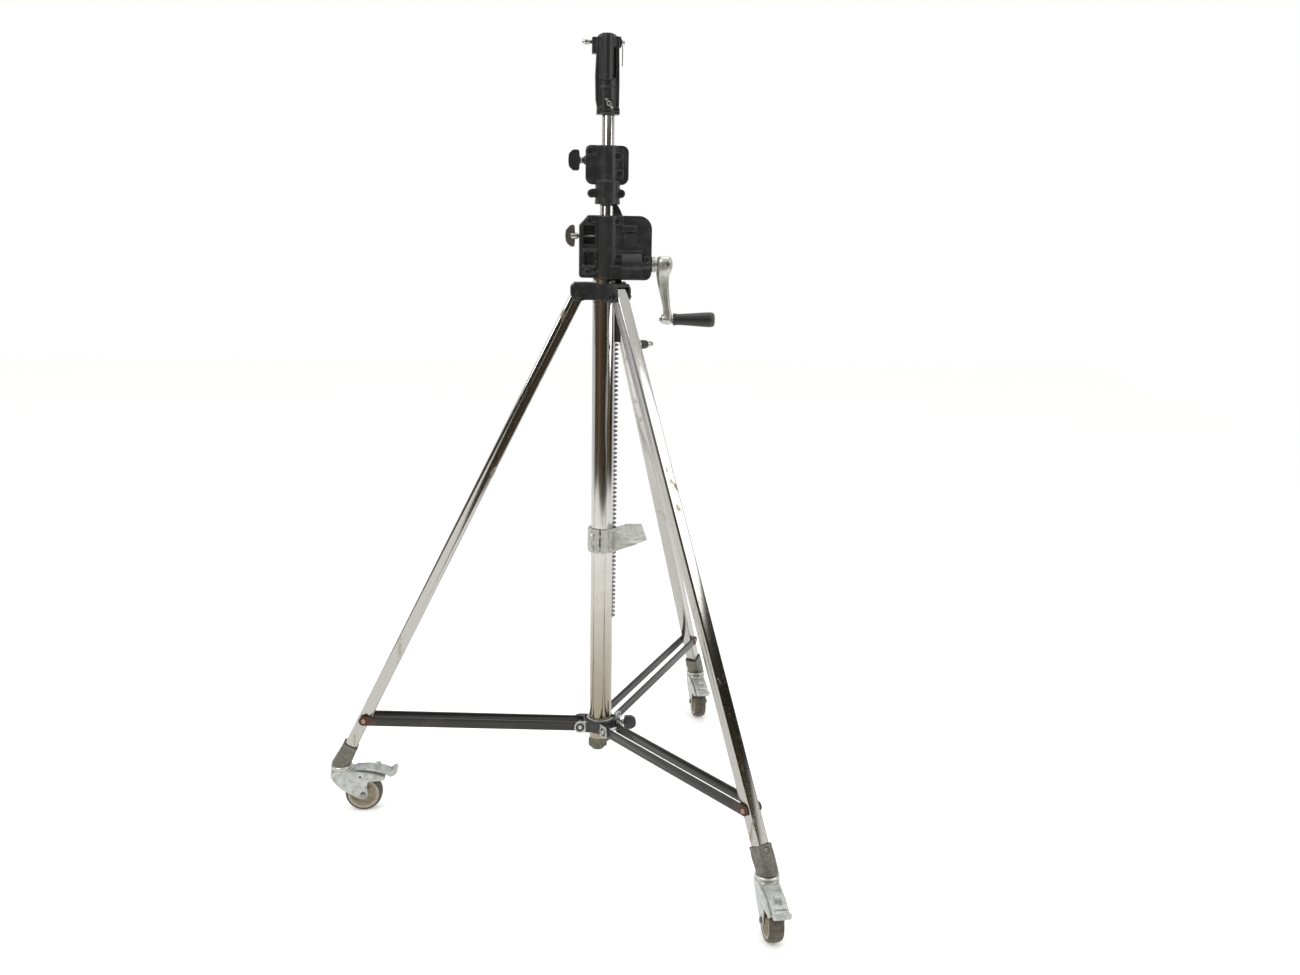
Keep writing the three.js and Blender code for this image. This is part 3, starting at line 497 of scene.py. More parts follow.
CORE = soft_look("wheel_core_beige", (0.36, 0.31, 0.22), (0.27, 0.235, 0.17), 0.6, 1.4, 9,
                 stain=(0.27, 0.10, 0.05), stained=0.12)
RIVET = metal_look("rivet_rusty", (0.48, 0.36, 0.28), (0.24, 0.13, 0.08), 0.5, 0.5, 1.0, 3)
CUP = metal_look("zinc_rim_rubbed", (0.66, 0.67, 0.64), (0.44, 0.44, 0.40), 0.30, 0.8, 1.2, 7,
                 stain=(0.24, 0.22, 0.16))
GRIP = grip_look()

# ---------------------------------------------------------------- column, guard and risers


def hollow_tube(outer, wall, low, high, x=0.0):
    inner = outer - wall
    return lathe([(outer, low), (outer, high), (inner, high), (inner, low)], 96).moved(x)


def make_column():
    low, high = COLUMN_LOW.z, COLUMN_HIGH.z
    slot = box(10, 40, -SLOT_HALF, SLOT_HALF, SLOT_BOTTOM, high + 1)
    slot_end = rod_x(SLOT_HALF, 10, 40, 0, SLOT_BOTTOM)
    build("column", "base", CHROME, [hollow_tube(COLUMN_R, COLUMN_WALL, low, high)], [slot, slot_end],
          ["column_tube"], bevel=0.3)

    plug_low, plug_high = extent("column_end_plug")
    off = -5                                  # the ribbed part sits off centre
    ribs = [box(17.5, 20.5, -1.6, 1.6, 137, 151).turned(spin(18 * k, "Z")).moved(off) for k in range(20)]
    bore = COLUMN_R - COLUMN_WALL - 0.3
    shapes = [rod_z(23, 151, low - 0.3, chamfer=1), rod_z(bore, low - 2, plug_high.z),
              lathe([(0, 136), (17, 136), (18.8, 138), (18.8, 152), (0, 152)]).moved(off),
              lathe([(0, plug_low.z), (12.6, plug_low.z), (13.6, 131), (13.6, 137), (0, 137)]).moved(off),
              *ribs]
    build("column_end_plug_ribbed", "base", PLUG, shapes, [rod_z(9, plug_low.z - 1, 133.5, off)],
          ["column_end_plug"], voxel=0.7, soften=2)


def make_risers():
    for name, radius, low, high in (("riser_1", RISER_1_R, RISER_1_LOW.z, RISER_1_HIGH.z),
                                    ("riser_2", RISER_2_R, RISER_2_LOW.z, RISER_2_HIGH.z)):
        build(name + "_chromed", name, CHROME, [hollow_tube(radius, RISER_WALL, low, high, RISER_X)],
              replaces=[name + "_tube"], bevel=0.3)
    low, high = extent("riser_1_foot_bush")
    body = lathe([(0, low.z), (21.2, low.z), (21.8, low.z + 1), (21.8, low.z + 9), (21.0, low.z + 10),
                  (21.0, high.z - 10), (21.8, high.z - 9), (21.8, high.z - 1), (21.2, high.z), (0, high.z)])
    bore = rod_z(RISER_1_R + 0.3, low.z - 1, high.z + 1, RISER_X)
    build("riser_foot_bush", "riser_1", NYLON, [body], [bore], ["riser_1_foot_bush"], bevel=0.3)


# ---------------------------------------------------------------- leg yoke
YOKE_TOP = extent("leg_yoke")[1].z
YOKE_BOTTOM = 1115.0
AZIMUTHS = {n: math.atan2(joint_at(f"leg_{n}_fold").y, joint_at(f"leg_{n}_fold").x) for n in NUMBERS}
LEG_PIVOT_R = joint_at("leg_1_fold").xy.length
LEG_PIVOT_Z = joint_at("leg_1_fold").z


def spoke(n):
    """The frame of leg n: its X axis points outwards along the leg's azimuth."""
    return Matrix.Rotation(AZIMUTHS[n], 4, "Z")


def make_yoke():
    bottom, top = YOKE_BOTTOM, YOKE_TOP
    inner = LEG_SIDE / 2 + 0.6
    side = filleted([(18, top, 0), (61, top, 3), (69, top - 9, 4), (69, bottom + 8, 4), (61, bottom - 1, 5),
                     (50, bottom - 3, 4), (40, bottom, 3), (18, bottom, 0)])
    shapes = [lathe([(0, bottom), (30, bottom), (31, bottom + 1), (31, top - 1), (30, top), (0, top)]),
              box(15, 43, -15, 15, bottom + 4, top)]
    cuts = [rod_z(COLUMN_R + 0.3, bottom - 9, top + 9), box(15, 33.9, -8.9, 8.9, bottom - 9, top + 9)]
    for n in NUMBERS:
        turn = spoke(n)
        shapes.append(prism(side, -17.8, 17.8).turned(turn))
        pads = [rod_y(9, s * 17.3 - 0.9, s * 17.3 + 0.9, LEG_PIVOT_R, LEG_PIVOT_Z, 0.4) for s in (-1, 1)]
        shapes += all_turned(pads, turn)
        cuts.append(box(33, 90, -inner, inner, bottom - 20, top - 6.5).turned(turn))
        cuts.append(rod_y(4.3, -30, 30, LEG_PIVOT_R, LEG_PIVOT_Z).turned(turn))
    build("leg_yoke_casting", "base", BLACK, shapes, cuts, ["leg_yoke"],
          voxel=0.85, soften=3)

    for n in NUMBERS:
        head = hex_bolt(7.5, 5.2, socket=True)
        nut = hex_bolt(7, 5.6)
        down = Matrix.Translation((LEG_PIVOT_R, -18.4, LEG_PIVOT_Z)) @ spin(90, "X")
        up = Matrix.Translation((LEG_PIVOT_R, 18.4, LEG_PIVOT_Z)) @ spin(-90, "X")
        bolt = [rod_y(4, -19, 19, LEG_PIVOT_R, LEG_PIVOT_Z), head.turned(down), nut.turned(up)]
        build(f"leg_pivot_bolt_{n}_fine", "base", BLACK_BOLT, all_turned(bolt, spoke(n)),
              replaces=[f"leg_pivot_bolt_{n}"], bevel=0.25)


# ---------------------------------------------------------------- gearbox
BOX_LOW, BOX_HIGH = extent("gearbox_front_cover")
BOX_LEFT, BOX_SHOULDER, BOX_RIGHT = BOX_LOW.x, -13.0, BOX_HIGH.x
BOX_BOTTOM, BOX_TOP = BOX_LOW.z, 1282.0
BOX_HALF, FLANGE_HALF = 29.0, 16.0
FRONT_SCREWS = [(23, 1270.5), (25, 1201), (82.5, 1197)]
FLANGE_SCREWS = [(-32, 1270.5), (-36, 1206.5), (-36, 1172)]


def gearbox_half(side):
    """Shapes and cuts of one half; side is -1 for the front and 1 for the rear."""

    def slab(outline, depth, start=0.0):
        return prism(outline, *sorted((side * start, side * depth)))

    def bar(x0, x1, z0, z1, depth, start=0.0):
        return slab([(x0, z0), (x1, z0), (x1, z1), (x0, z1)], depth, start)

    def stud(radius, depth, x, z, start, chamfer=0.6):
        return rod_y(radius, side * start, side * depth, x, z, chamfer)

    housing = filleted([(BOX_SHOULDER, BOX_BOTTOM + 3, 2), (20, BOX_BOTTOM, 0), (BOX_RIGHT, BOX_BOTTOM, 14),
                        (BOX_RIGHT, BOX_TOP, 26), (BOX_SHOULDER, BOX_TOP, 2)], 10)
    flange = filleted([(BOX_LEFT, BOX_BOTTOM + 6, 2), (BOX_LEFT + 4, BOX_BOTTOM + 3, 2),
                       (-10, BOX_BOTTOM + 3, 0), (-10, BOX_TOP, 0), (BOX_LEFT + 18, BOX_TOP, 3),
                       (BOX_LEFT, BOX_TOP - 20, 3)])
    fin = filleted([(14, BOX_TOP - 2, 0), (14, 1302.5, 1), (24, 1302.5, 3), (30, 1292, 4),
                    (35, BOX_TOP - 2, 0)])
    shapes = [slab(housing, BOX_HALF - 2.5), slab(flange, FLANGE_HALF), slab(fin, 9.5),
              bar(-36, BOX_SHOULDER, BOX_TOP - 13, BOX_TOP - 1, FLANGE_HALF + 4),
              rod_z(22, BOX_BOTTOM + 2, BOX_TOP - 0.5, 5, side * 14, 1.5),         # bulge over the riser
              bar(14, 73, BOX_BOTTOM + 1.5, 1214, BOX_HALF + 1.5),                 # lower raised block
              bar(15, 34, 1263, BOX_TOP - 1, BOX_HALF + 1),
              bar(31.5, 60.5, 1251.5, 1262, BOX_HALF + 2),
              stud(12.2, BOX_HALF + 2.6, GEAR_AXIS.x, GEAR_AXIS.z, 10)]
    shapes += [stud(6.6, BOX_HALF + 2.0, x, z, 14) for x, z in FRONT_SCREWS]
    shapes += [stud(6.0, FLANGE_HALF + 2.2, x, z, 8) for x, z in FLANGE_SCREWS]
    shapes += [bar(-46, -14, z, z + 3, FLANGE_HALF + 1.6) for z in (1168, 1181, 1213)]
    keep = 0.15 * side                        # half the gap between the two castings
    recess_start = 0.8 if side < 0 else 9
    cuts = [box(-90, 120, *sorted((keep, -side * 90)), 1100, 1400),
            rod_z(COLUMN_R + 0.3, BOX_BOTTOM - 2, 1192), rod_z(RISER_1_R + 0.6, 1190, BOX_TOP + 40, RISER_X),
            box(14, 31, -6, 6, BOX_BOTTOM - 2, BOX_TOP + 40), box(20, 34, -8.9, 8.9, BOX_BOTTOM - 2, 1170),
            rod_z(19.8, 1255.5, 1274.5, RISER_X),
            rod_y(25.5, -7, 7, GEAR_AXIS.x, GEAR_AXIS.z),
            rod_y(35.3, -23.8, -9.3, GEAR_AXIS.x, GEAR_AXIS.z),
            rod_y(7.4, -30.6, 29.8, GEAR_AXIS.x, GEAR_AXIS.z),
            rod_x(21.5, 32.5, 70, CRANK_AXIS.y, CRANK_AXIS.z), rod_x(6.6, 24, 33, CRANK_AXIS.y, CRANK_AXIS.z),
            rod_x(10.5, 69, BOX_RIGHT + 5, CRANK_AXIS.y, CRANK_AXIS.z),
            rod_x(4.5, BOX_LEFT - 1, 0, 0, LOCK_Z),
            bar(-44, -21, 1225, 1262, FLANGE_HALF + 9, recess_start),
            bar(-42, -24, 1184, 1211, FLANGE_HALF + 9, 8)]
    ring = lathe([(8.6, -1), (11.4, -1), (11.4, 4), (8.6, 4)], 48)
    ring_centre = Matrix.Translation((GEAR_AXIS.x, side * (BOX_HALF + 1.2), GEAR_AXIS.z))
    cuts.append(ring.turned(ring_centre @ spin(-90 * side, "X")))
    cuts += [stud(4.6, BOX_HALF + 4, x, z, BOX_HALF - 1.5, 0) for x, z in FRONT_SCREWS]
    cuts += [stud(4.2, FLANGE_HALF + 4, x, z, FLANGE_HALF - 1, 0) for x, z in FLANGE_SCREWS]
    if side < 0:                              # over the worm: half round above, a flat block below
        shapes += [rod_x(25, 31.5, 72, CRANK_AXIS.y, CRANK_AXIS.z, 1.0),
                   bar(9, 72.4, BOX_BOTTOM + 1.5, CRANK_AXIS.z - 3, 39.5),
                   rod_x(13.4, 60, BOX_RIGHT - 1.2, CRANK_AXIS.y, CRANK_AXIS.z, 1.0)]
    return shapes, cuts


def make_gearbox():
    for name, side in (("gearbox_front", -1), ("gearbox_rear", 1)):
        shapes, cuts = gearbox_half(side)
        build(name + "_casting", "base", BLACK, shapes, cuts, [name + "_cover"],
              voxel=0.9, soften=3)
        screws = [(x, z, BOX_HALF - 1.5, 4.2) for x, z in FRONT_SCREWS]
        screws += [(x, z, FLANGE_HALF - 1, 3.8) for x, z in FLANGE_SCREWS]
        outward = spin(-90 * side, "X")
        placed = [hex_bolt(r, 2.6, socket=True).turned(Matrix.Translation((x, side * depth, z)) @ outward)
                  for x, z, depth, r in screws]
        build(name + "_screws", "base", BLACK_BOLT, placed)


def make_worm_hub():
    """The drive shaft's stepped and grooved steel hub between gearbox and crank, and the shaft itself."""
    y, z = CRANK_AXIS.y, CRANK_AXIS.z
    shaft_end = extent("worm_shaft")[1].x
    hub = lathe([(0, 92.9), (15, 92.9), (15.7, 93.6), (15.7, 96.2), (14.2, 96.6), (14.2, 97.4), (15.7, 97.8),
                 (15.7, 100), (13.4, 100.6), (13.4, 103.4), (0, 103.4)], 72)
    grooves = [box(15.2, 17, -0.35, 0.35, 92, 100.3).turned(spin(10 * k, "Z"))
               for k in range(36)]
    side = Matrix.Translation((0, y, z)) @ spin(90, "Y")
    build("drive_hub", "crank", CHROME_SMALL, [hub.turned(side)], all_turned(grooves, side),
          bevel=0.2)
    thread = wire([(34 + 32 * t / 40, y + 17.2 * math.cos(-t * 0.55), z + 17.2 * math.sin(-t * 0.55))
                   for t in range(41)], 2.2, 8, 2)
    core = [rod_x(14.6, 33.5, 66, y, z, 0.5), rod_x(6, 25.5, 40, y, z, 0.4),
            rod_x(8, 60, shaft_end, y, z, 0.8)]
    build("worm_and_shaft", "crank", STEEL, [*core, thread], replaces=["worm_shaft"],
          bevel=0.2)


# ---------------------------------------------------------------- collar and socket
COLLAR_LOW, COLLAR_HIGH = extent("riser_collar")
SOCKET_LOW, SOCKET_HIGH = extent("top_socket")


def facing_front(x, y, z):
    """Turns a shape that stands on Z = 0 so that it stands on a face towards -Y."""
    return Matrix.Translation((x, y, z)) @ spin(90, "X")


def make_collar():
    bottom, step, top = COLLAR_LOW.z, 1349.0, COLLAR_HIGH.z
    plate = filleted([(-40, step - 8, 14), (45, step - 8, 14), (45, top, 13), (-40, top, 9)], 8)
    lower = lathe([(0, bottom), (24.5, bottom), (25.6, bottom + 1.5), (24.6, bottom + 12), (24.6, step - 3),
                   (25.6, step - 1.5), (25.6, step + 0.5), (0, step + 0.5)]).moved(RISER_X)
    upper = lathe([(0, step - 1), (22.2, step - 1), (22.2, top - 2), (20.5, top), (0, top)]).moved(RISER_X)
    shapes = [lower, upper, prism(plate, -8, 8), box(-27.5, 29.5, -9, 9, bottom + 13, bottom + 30),
              box(12, 34, -12, 12, step + 3, top - 8),
              rod_x(8.2, COLLAR_LOW.x, -38, 0, COLLAR_LOCK_Z, 0.8),
              box(-39, -18, -9.5, 9.5, top - 18, top - 16.4)]
    bolts = [(-27.5, bottom + 21, 13.0), (29.5, bottom + 21, 17.5)]
    sockets = [(23.5, top - 21, 14.0), (27.0, top - 54, 14.0), (-31, top - 11, 8.5)]
    shapes += [rod_y(8.6, -depth, depth, x, z, 1.4) for x, z, depth in bolts]
    shapes += [rod_y(7.6, -depth - 2.5, depth + 2.5, x, z, 0.9) for x, z, depth in sockets]
    cuts = [rod_z(RISER_1_R + 0.3, bottom - 1, RISER_1_HIGH.z + 0.3, RISER_X),
            rod_z(RISER_2_R + 0.3, RISER_1_HIGH.z - 1, top + 1, RISER_X),
            box(15, 30.5, -5.4, 5.4, bottom - 1, 1330.5), rod_x(4.5, COLLAR_LOW.x - 2, 0, 0, COLLAR_LOCK_Z),
            box(-37, -31, -20, -5.5, COLLAR_LOCK_Z - 12, COLLAR_LOCK_Z + 6)]
    sunk = [*bolts, *((x, z, depth + 2.5) for x, z, depth in sockets)]
    cuts += [rod_y(5.4, -depth - 9, -depth + 2.2, x, z) for x, z, depth in sunk]
    build("riser_collar_casting", "riser_1", BLACK, shapes, cuts, ["riser_collar"],
          voxel=0.8, soften=3)
    placed = [hex_bolt(4.6, 3, socket=True).turned(facing_front(x, -depth + 2.4, z)) for x, z, depth in sunk]
    build("riser_collar_bolts", "riser_1", BLACK_BOLT, placed)


def make_socket():
    x, bottom, top = 1.0, SOCKET_LOW.z, SOCKET_HIGH.z
    floor, bore = 1528.0, 14.3
    side = filleted([(x - 17, bottom, 2), (x + 23, bottom, 3), (x + 23.5, 1528, 8), (x + 22, top - 4, 3),
                     (x - 20, top - 4, 3), (x - 23.5, 1548, 8), (x - 22.5, 1502, 10)])
    shapes = [prism(side, -13, 13), rod_z(20.5, bottom + 1, top - 5, x, 0, 1.5),
              rod_z(12.2, 1537, top, x - 1, -15, 1.2), rod_z(12.2, 1537, top, x - 1, 15, 1.2),
              rod_z(17.5, top - 6, top, x, 0, 1.5),
              box(x - 30, x - 12, -10, 10, top - 36, top - 6),
              box(x + 14, x + 26, -8.5, 8.5, top - 24, top - 4),
              rod_x(7.5, x + 14, x + 27, 0, PIN_Z, 1.0),
              lathe([(0, 1523.4), (21.4, 1523.4), (21.4, 1525.2), (0, 1525.2)]).moved(x),
              box(x - 20, x + 24.4, -14.5, 14.5, bottom, bottom + 10),
              box(WING_AXIS.x - 8, WING_AXIS.x + 8, -24.5, -10, bottom + 8, bottom + 28)]
    shapes += [rod_y(5, s * 13, s * 17, x + dx, bottom + 9, 0.8) for s in (-1, 1) for dx in (-13, 19)]
    cuts = [rod_z(bore, floor, top + 1, x), rod_z(RISER_2_R + 0.3, bottom - 1, RISER_2_HIGH.z + 0.3, RISER_X),
            rod_x(4.5, -60, 60, 0, PIN_Z), rod_y(3.5, -40, 0, WING_AXIS.x, WING_AXIS.z),
            box(x + 11.2, x + 15.4, -30, -9, 1541, 1598), box(x + 11.2, x + 15.4, 9, 30, 1541, 1598),
            box(x - 15.2, x - 12.6, -30, -14, 1541, 1612), box(x - 14, x + 14, -30, -20.2, 1534, 1536.8),
            rod_y(2.4, -40, -18, x - 4, 1517), rod_y(4, -30, -24, x + 9, top - 18)]
    build("top_socket_casting", "riser_2", BLACK, shapes, cuts, ["top_socket"],
          voxel=0.7, soften=3)

    low, high = extent("socket_cross_pin")
    def along_pin(x0, x1):
        return towards((x0, 0, PIN_Z), (x1, 0, PIN_Z))

    ball = lathe([(0, 0), (4.2, 0), (5.2, 0.8), (6, 3.2), (6, 6.4), (4.6, 9.2), (2.2, 10.6), (0, 11)], 40)
    shapes = [rod_x(3.9, low.x + 10, high.x - 1.5, 0, PIN_Z, 0.6),
              ball.turned(along_pin(low.x + 11.5, low.x)),
              lathe([(0, 0), (6, 0), (6, 2), (0, 2)], 40).turned(along_pin(low.x + 13, 0))]
    groove = lathe([(2.6, 0), (6, 0), (6, 2), (2.6, 2)], 40).turned(along_pin(high.x - 5, 60))
    build("cross_pin", "cross_pin", CHROME_SMALL, shapes, [groove], ["socket_cross_pin"],
          bevel=0.25)

    # retaining clip: a loop of wire that hangs at the pin's plain end
    eye = [(30.5, 5.4 * math.sin(a), PIN_Z + 5.4 * math.cos(a)) for a in (2.8, 1.9, 0.9, 0, -0.9, -1.9, -2.8)]
    legs = [(30.5, 2.2, 1597), (30.3, 2.0, 1580), (30.2, 1.4, 1567), (30.2, 0, 1565), (30.2, -1.4, 1567),
            (30.3, -2.0, 1580), (30.5, -2.2, 1597)]
    clip = wire([*reversed(eye), *legs], 0.9)
    cheek = lathe([(4.7, 0), (8.4, 0), (8.4, 1.3), (4.7, 1.3)], 40).turned(along_pin(28.4, 60))
    build("cross_pin_clip", "riser_2", CHROME_SMALL, [clip, cheek])


# ---------------------------------------------------------------- hand screws


def screw_shaft(radius, length, collar):
    """A threaded shaft along +X from the origin, with a collar under its head."""
    ridges = [(radius - 0.35 * (k % 2), 1.2 + 0.9 * k) for k in range(int((length - 6) / 0.9))]
    profile = [(0, 0), (radius - 0.6, 0), *ridges, (radius - 0.3, length - 4), (collar, length - 3.4),
               (collar, length), (0, length)]
    return lathe(profile, 36).turned(spin(90, "Y"))


def knob_frame(node, heading):
    """Where a hand screw's tip is, from its CAD node's box, with X along the screw."""
    low, high = extent(node)
    middle = (low + high) / 2
    tip = {0: (low.x, middle.y, middle.z), 180: (high.x, middle.y, middle.z),
           270: (middle.x, high.y, middle.z)}
    length = max(high.x - low.x, high.y - low.y) if heading == 270 else high.x - low.x
    return Matrix.Translation(tip[heading]) @ spin(heading, "Z"), length


def make_hand_screws():
    # chrome crescent wing of the gearbox lock
    frame_at, length = knob_frame("gearbox_lock_knob", 180)
    start = length - 20
    wing = filleted([(start, -7, 2), (start + 1, -22, 5), (start + 9, -22, 8), (start + 18.5, -13, 12),
                     (start + 19.8, 0, 16), (start + 18.5, 13, 12), (start + 9, 22, 8), (start + 1, 22, 5),
                     (start, 7, 2)])
    dents = [rod_y(5.5, s * 7.0, s * 12, start + 8, z) for s in (-1, 1) for z in (-13, 13)]
    boss = rod_x(6.5, start - 4, start + 8, 0, 0, 1.5)
    build("gearbox_lock_wing", "gearbox_knob", CHROME_SMALL,
          all_turned([prism(wing, -4.6, 4.6), boss], frame_at), all_turned(dents, frame_at),
          voxel=0.6)
    build("gearbox_lock_shaft", "gearbox_knob", STEEL, [screw_shaft(4, start - 2, 6.4).turned(frame_at)],
          replaces=["gearbox_lock_knob"])

    # black rounded knobs of the collar and the hub
    for node, heading, body, wide, depth in (("collar_lock_knob", 180, "collar_knob", 20, 24),
                                             ("hub_lock_knob", 0, "hub_knob", 14.6, 28)):
        frame_at, length = knob_frame(node, heading)
        start = length - depth
        lobes = filleted([(start + 1, -5, 3), (start + 2.5, -wide, 4), (start + depth * 0.62, -wide, 6),
                          (start + depth * 0.95, -wide * 0.62, 8), (start + depth, 0, 30),
                          (start + depth * 0.95, wide * 0.62, 8), (start + depth * 0.62, wide, 6),
                          (start + 2.5, wide, 4), (start + 1, 5, 3)])
        shapes = [prism(lobes, -6, 6), rod_x(6.2, start - 6, start + depth * 0.6, 0, 0, 1.0)]
        build(node.replace("lock_knob", "lock_lobes"), body, BLACK, all_turned(shapes, frame_at),
              voxel=0.6, soften=7)
        build(node.replace("lock_knob", "lock_shaft"), body, STEEL,
              [screw_shaft(4, start, 6.2).turned(frame_at)], replaces=[node])

    # small chrome wing bolt of the socket
    frame_at, length = knob_frame("socket_wing_bolt", 270)
    start = length - 10
    wing = filleted([(start, -3, 1), (start + 3.4, -10.8, 3), (start + 9.8, -10.8, 3.5), (start + 8, -3, 3),
                     (start + 8, 3, 3), (start + 9.8, 10.8, 3.5), (start + 3.4, 10.8, 3), (start, 3, 1)])
    tilt = spin(35, "X")
    shapes = [prism(wing, -1.9, 1.9).turned(tilt), rod_x(4.6, start - 3, start + 8.5, 0, 0, 1.2)]
    build("socket_wing_head", "socket_wing", CHROME_SMALL, all_turned(shapes, frame_at),
          voxel=0.45, soften=3)
    build("socket_wing_shaft", "socket_wing", STEEL, [screw_shaft(3, start, 5).turned(frame_at)],
          replaces=["socket_wing_bolt"])


# ---------------------------------------------------------------- crank


def make_crank():
    y, top = CRANK_AXIS.y, CRANK_AXIS.z
    foot = GRIP_AXIS.z
    # stations down the arm: height, left and right edge, half width across
    stations = [(top + 17.4, 113, 124, 5), (top + 15.5, 106.5, 131, 11), (top + 9, 103.4, 134.5, 16),
                (top, 103, 135.5, 17.4), (top - 10, 102.8, 134, 16.5), (top - 22, 103.4, 129.5, 13.5),
                (top - 38, 106, 129, 11), (top - 56, 110.5, 130.2, 9.6), (top - 74, 115, 131.8, 9.2),
                (top - 90, 118, 134, 9.4), (foot, 119.5, 138, 9.6), (foot - 7, 120.5, 137.5, 8),
                (foot - 10.8, 124, 134, 4)]
    smooth = curve_through([Vector((z, (x0 + x1) / 2, (x1 - x0) / 2)) for z, x0, x1, _ in stations], 5)
    across = curve_through([Vector((half, 0, 0)) for *_, half in stations], 5)

    def squared(part):
        """Bends a circle's sine or cosine so that the section is a rounded oblong."""
        return math.copysign(abs(part) ** 0.75, part)

    rings = []
    for (z, centre, half_x), (half_y, _, _) in zip(smooth, across):
        rings.append([Vector((centre + half_x * squared(math.cos(a)), y + half_y * squared(math.sin(a)), z))
                      for a in angles(56)])
    boss = lathe([(0, 0), (7.6, 0), (9.4, 1.4), (10.4, 5), (10.6, 16), (0, 16)], 48)
    boss = boss.turned(towards((114.5, y, foot + 0.5), (140, y, foot + 0.5)))
    cuts = [rod_x(8.3, 100, 126.4, y, top), rod_x(5.5, 132.5, 140, y, top),
            rod_y(4.6, y - 20, y - 14, 124.5, top + 2), rod_x(5.2, 110, 150, y, foot)]
    build("crank_arm_casting", "crank", POLISHED, [loft(rings), boss], cuts, ["crank_arm"],
          voxel=0.7)
    spindle = lathe([(0, 0), (5.2, 0), (5.2, 75), (0, 75)], 40)
    pin = [rod_x(5, 113, 138.4, y, foot), spindle.turned(towards((138, y, foot), (200, y, foot)))]
    nut = hex_bolt(6.2, 3.4).turned(towards((114.6, y, foot + 0.5), (100, y, foot + 0.5)))
    screw = hex_bolt(4.2, 2.4, socket=True).turned(facing_front(124.5, y - 14.6, top + 2))
    end_cap = hex_bolt(5.2, 2.6, socket=True).turned(towards((132.8, y, top), (150, y, top)))
    build("crank_pin_and_nut", "crank", CHROME_SMALL, [*pin, nut, screw, end_cap])

    low, high = extent("crank_grip")
    length = high.x - low.x
    outline = [(5.4, 0.3), (10.2, 0.3), (12.0, 1.6), (12.4, 4), (11.4, 9), (11.6, 18), (13.0, 40), (14.3, 58),
               (15.0, 70), (15.0, 78), (14.2, 82.5), (12.6, length - 0.3)]
    smooth = [(p.x, p.y) for p in curve_through([Vector((r, h, 0)) for r, h in outline[1:]], 5)]
    profile = [(5.4, 0.3), *smooth, (4, length), (0.01, length), (0.01, 77.6), (5.4, 77.6)]
    flutes = [rod(1.1, (14, 0.0, 16), (16.2, 0.0, 66), sides=12).turned(spin(30 * k, "Z")) for k in range(12)]
    lay = towards((low.x, y, foot), (high.x, y, foot))
    build("crank_grip_moulded", "crank_grip", GRIP, [lathe(profile, 72).turned(lay)],
          all_turned(flutes, lay), ["crank_grip"], bevel=0.3)


# ---------------------------------------------------------------- strut hub
HUB_TOP = extent("strut_hub")[1].z
HUB_PIVOT = joint_at("strut_1_fold")
HUB_PIVOT_R, HUB_PIVOT_Z = HUB_PIVOT.xy.length, HUB_PIVOT.z
EAR_Y = 21.0                                  # middle of each ear plate, beside its strut


